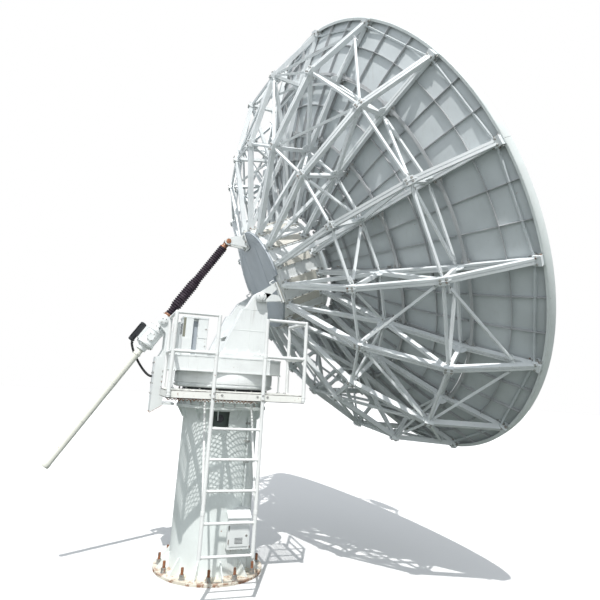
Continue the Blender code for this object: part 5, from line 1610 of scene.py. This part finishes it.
def add_cover_tube(mats):
    shape = Shape("cream", "zinc")
    shape.move = JACK
    shape.turned([(0, -1.9995), (0.038, -1.9995), (0.042, -1.995), (0.043, -1.985), (0.043, -1.945),
                  (0.0405, -1.940), (0.0405, -0.50), (0.046, -0.496), (0.046, -0.470),
                  (0.043, -0.466), (0.043, -0.4205), (0.031, -0.4205), (0.031, -0.50)], "cream",
                 sides=36)
    for z in (-0.90, -1.42):
        shape.turned([(0.0404, z - 0.009), (0.0415, z - 0.006), (0.0415, z + 0.006),
                      (0.0404, z + 0.009)], "cream", sides=36)
    for k in range(4):
        a = pi / 2 * k + 0.3
        shape.bolt((0.044 * cos(a), 0.044 * sin(a), -0.483), (cos(a), sin(a), 0), 0.010)
    keep(shape, "screw_cover", mats, "jack", "cream_paint", "screw_cover_tube")


PLEATS = 36
PLEAT_DEPTH = 0.016
BOOT = ((0.10, 0.054), (0.20, 0.054), (0.27, 0.073), (0.60, 0.073), (0.70, 0.059), (1.30, 0.059))
BELLOWS_LOW = 0.1005
BELLOWS_HIGH = JACK_LENGTH - 0.0905


def boot_radius(z):
    """The crest radius of the boot, which is fullest in its lower half."""
    for (z0, r0), (z1, r1) in zip(BOOT, BOOT[1:]):
        if z <= z1:
            return r0 + (r1 - r0) * max(0.0, z - z0) / (z1 - z0)
    return BOOT[-1][1]


def add_bellows(mats):
    """A pleated rubber boot, which on the real jack shortens as the screw goes in; here it is built at
    one length, with a clamp at each end.
    """
    shape = Shape("rubber", "copper")
    shape.move = JACK
    low, high = BELLOWS_LOW + 0.030, BELLOWS_HIGH - 0.022
    profile = [(0.036, BELLOWS_LOW), (0.052, BELLOWS_LOW), (0.052, low)]
    for k in range(PLEATS):
        pitch = (high - low) / PLEATS
        z = low + pitch * k
        crest = boot_radius(z + pitch / 2)
        dip = crest - PLEAT_DEPTH
        profile += [(dip, z + 0.08 * pitch), (crest - 0.006, z + 0.32 * pitch),
                    (crest, z + 0.45 * pitch), (crest, z + 0.58 * pitch),
                    (crest - 0.006, z + 0.70 * pitch), (dip, z + 0.95 * pitch)]
    profile += [(0.050, high), (0.050, BELLOWS_HIGH), (0.036, BELLOWS_HIGH)]
    shape.turned(profile, "rubber", sides=40)
    for z, r in ((BELLOWS_LOW + 0.006, 0.053), (BELLOWS_HIGH - 0.016, 0.051)):
        shape.turned([(r - 0.001, z), (r + 0.0025, z), (r + 0.0025, z + 0.012), (r - 0.001, z + 0.012)],
                     "copper", sides=36)
    ob = shape.made("screw_boot", mats)
    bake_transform(ob)
    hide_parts("screw_bellows")


def add_screw(mats):
    shape = Shape("screw", "copper")
    shape.move = JACK
    profile = [(0, -0.3995), (0.0205, -0.3995)]
    pitch = 0.010
    count = int((JACK_LENGTH - 0.10 + 0.39) / pitch)
    for k in range(count):
        z = -0.39 + pitch * k
        profile += [(0.0190, z), (0.0222, z + 0.3 * pitch), (0.0222, z + 0.6 * pitch),
                    (0.0190, z + 0.9 * pitch)]
    profile += [(0.020, JACK_LENGTH - 0.09), (0.039, JACK_LENGTH - 0.089),
                (0.039, JACK_LENGTH - 0.050), (0.030, JACK_LENGTH - 0.035), (0, JACK_LENGTH - 0.03)]
    shape.turned(profile, "screw", sides=18)
    eye = facing((0, -0.0378, JACK_LENGTH), (0, 1, 0))
    shape.turned([(0.024, 0), (0.046, 0), (0.0495, 0.004), (0.0495, 0.0716), (0.046, 0.0756),
                  (0.024, 0.0756), (0.024, 0)], "screw", eye, 36)
    shape.turned([(0, -0.004), (0.020, -0.004), (0.0235, 0), (0.0235, 0.0756), (0.020, 0.0796),
                  (0, 0.0796)], "copper", eye, 28)
    keep(shape, "jack_spindle", mats, "screw", "greased_steel", "jack_screw")


def smooth_route(points, spacing):
    spots = [Vector(p) for p in points]
    padded = [2 * spots[0] - spots[1]] + spots + [2 * spots[-1] - spots[-2]]
    fine = []
    for a, b, c, d in zip(padded, padded[1:], padded[2:], padded[3:]):
        steps = max(1, ceil((c - b).length / spacing))
        for k in range(steps):
            t = k / steps
            fine.append(0.5 * (2 * b + (c - a) * t + (2 * a - 5 * b + 4 * c - d) * t ** 2
                               + (3 * b - a - 3 * c + d) * t ** 3))
    return fine + [spots[-1]]


def add_cable(mats):
    """The motor's cable, from the motor's foot to the column behind the turret."""
    points = smooth_route(CABLE_ROUTE, CABLE_STEP)
    shape = Shape("cable")
    shape.tube(points, CABLE_R, "cable", 16)
    ob = shape.made("motor_lead", mats)
    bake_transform(ob)
    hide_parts("motor_cable")


def main():
    add_camera()
    add_light()
    add_floor()
    mats = make_materials()
    add_cable(mats)
    for k in range(RIBS):
        add_rib(k, mats)
    add_bracing(mats)
    add_reflector(mats)
    add_hub(mats)
    add_hub_cover(mats)
    add_lugs(mats)
    add_rod_bracket(mats)
    add_feed(mats)
    add_base_flange(mats)
    add_tube(mats)
    add_pedestal_head(mats)
    add_tube_box(mats)
    add_turret(mats)
    add_yoke(mats)
    add_cabinet("cabinet_near", -1, mats)
    add_cabinet("cabinet_far", 1, mats)
    add_platform(mats)
    add_railings(mats)
    add_ladder(mats)
    add_jack_arm(mats)
    add_gearbox(mats)
    add_motor(mats)
    add_cover_tube(mats)
    add_bellows(mats)
    add_screw(mats)


main()
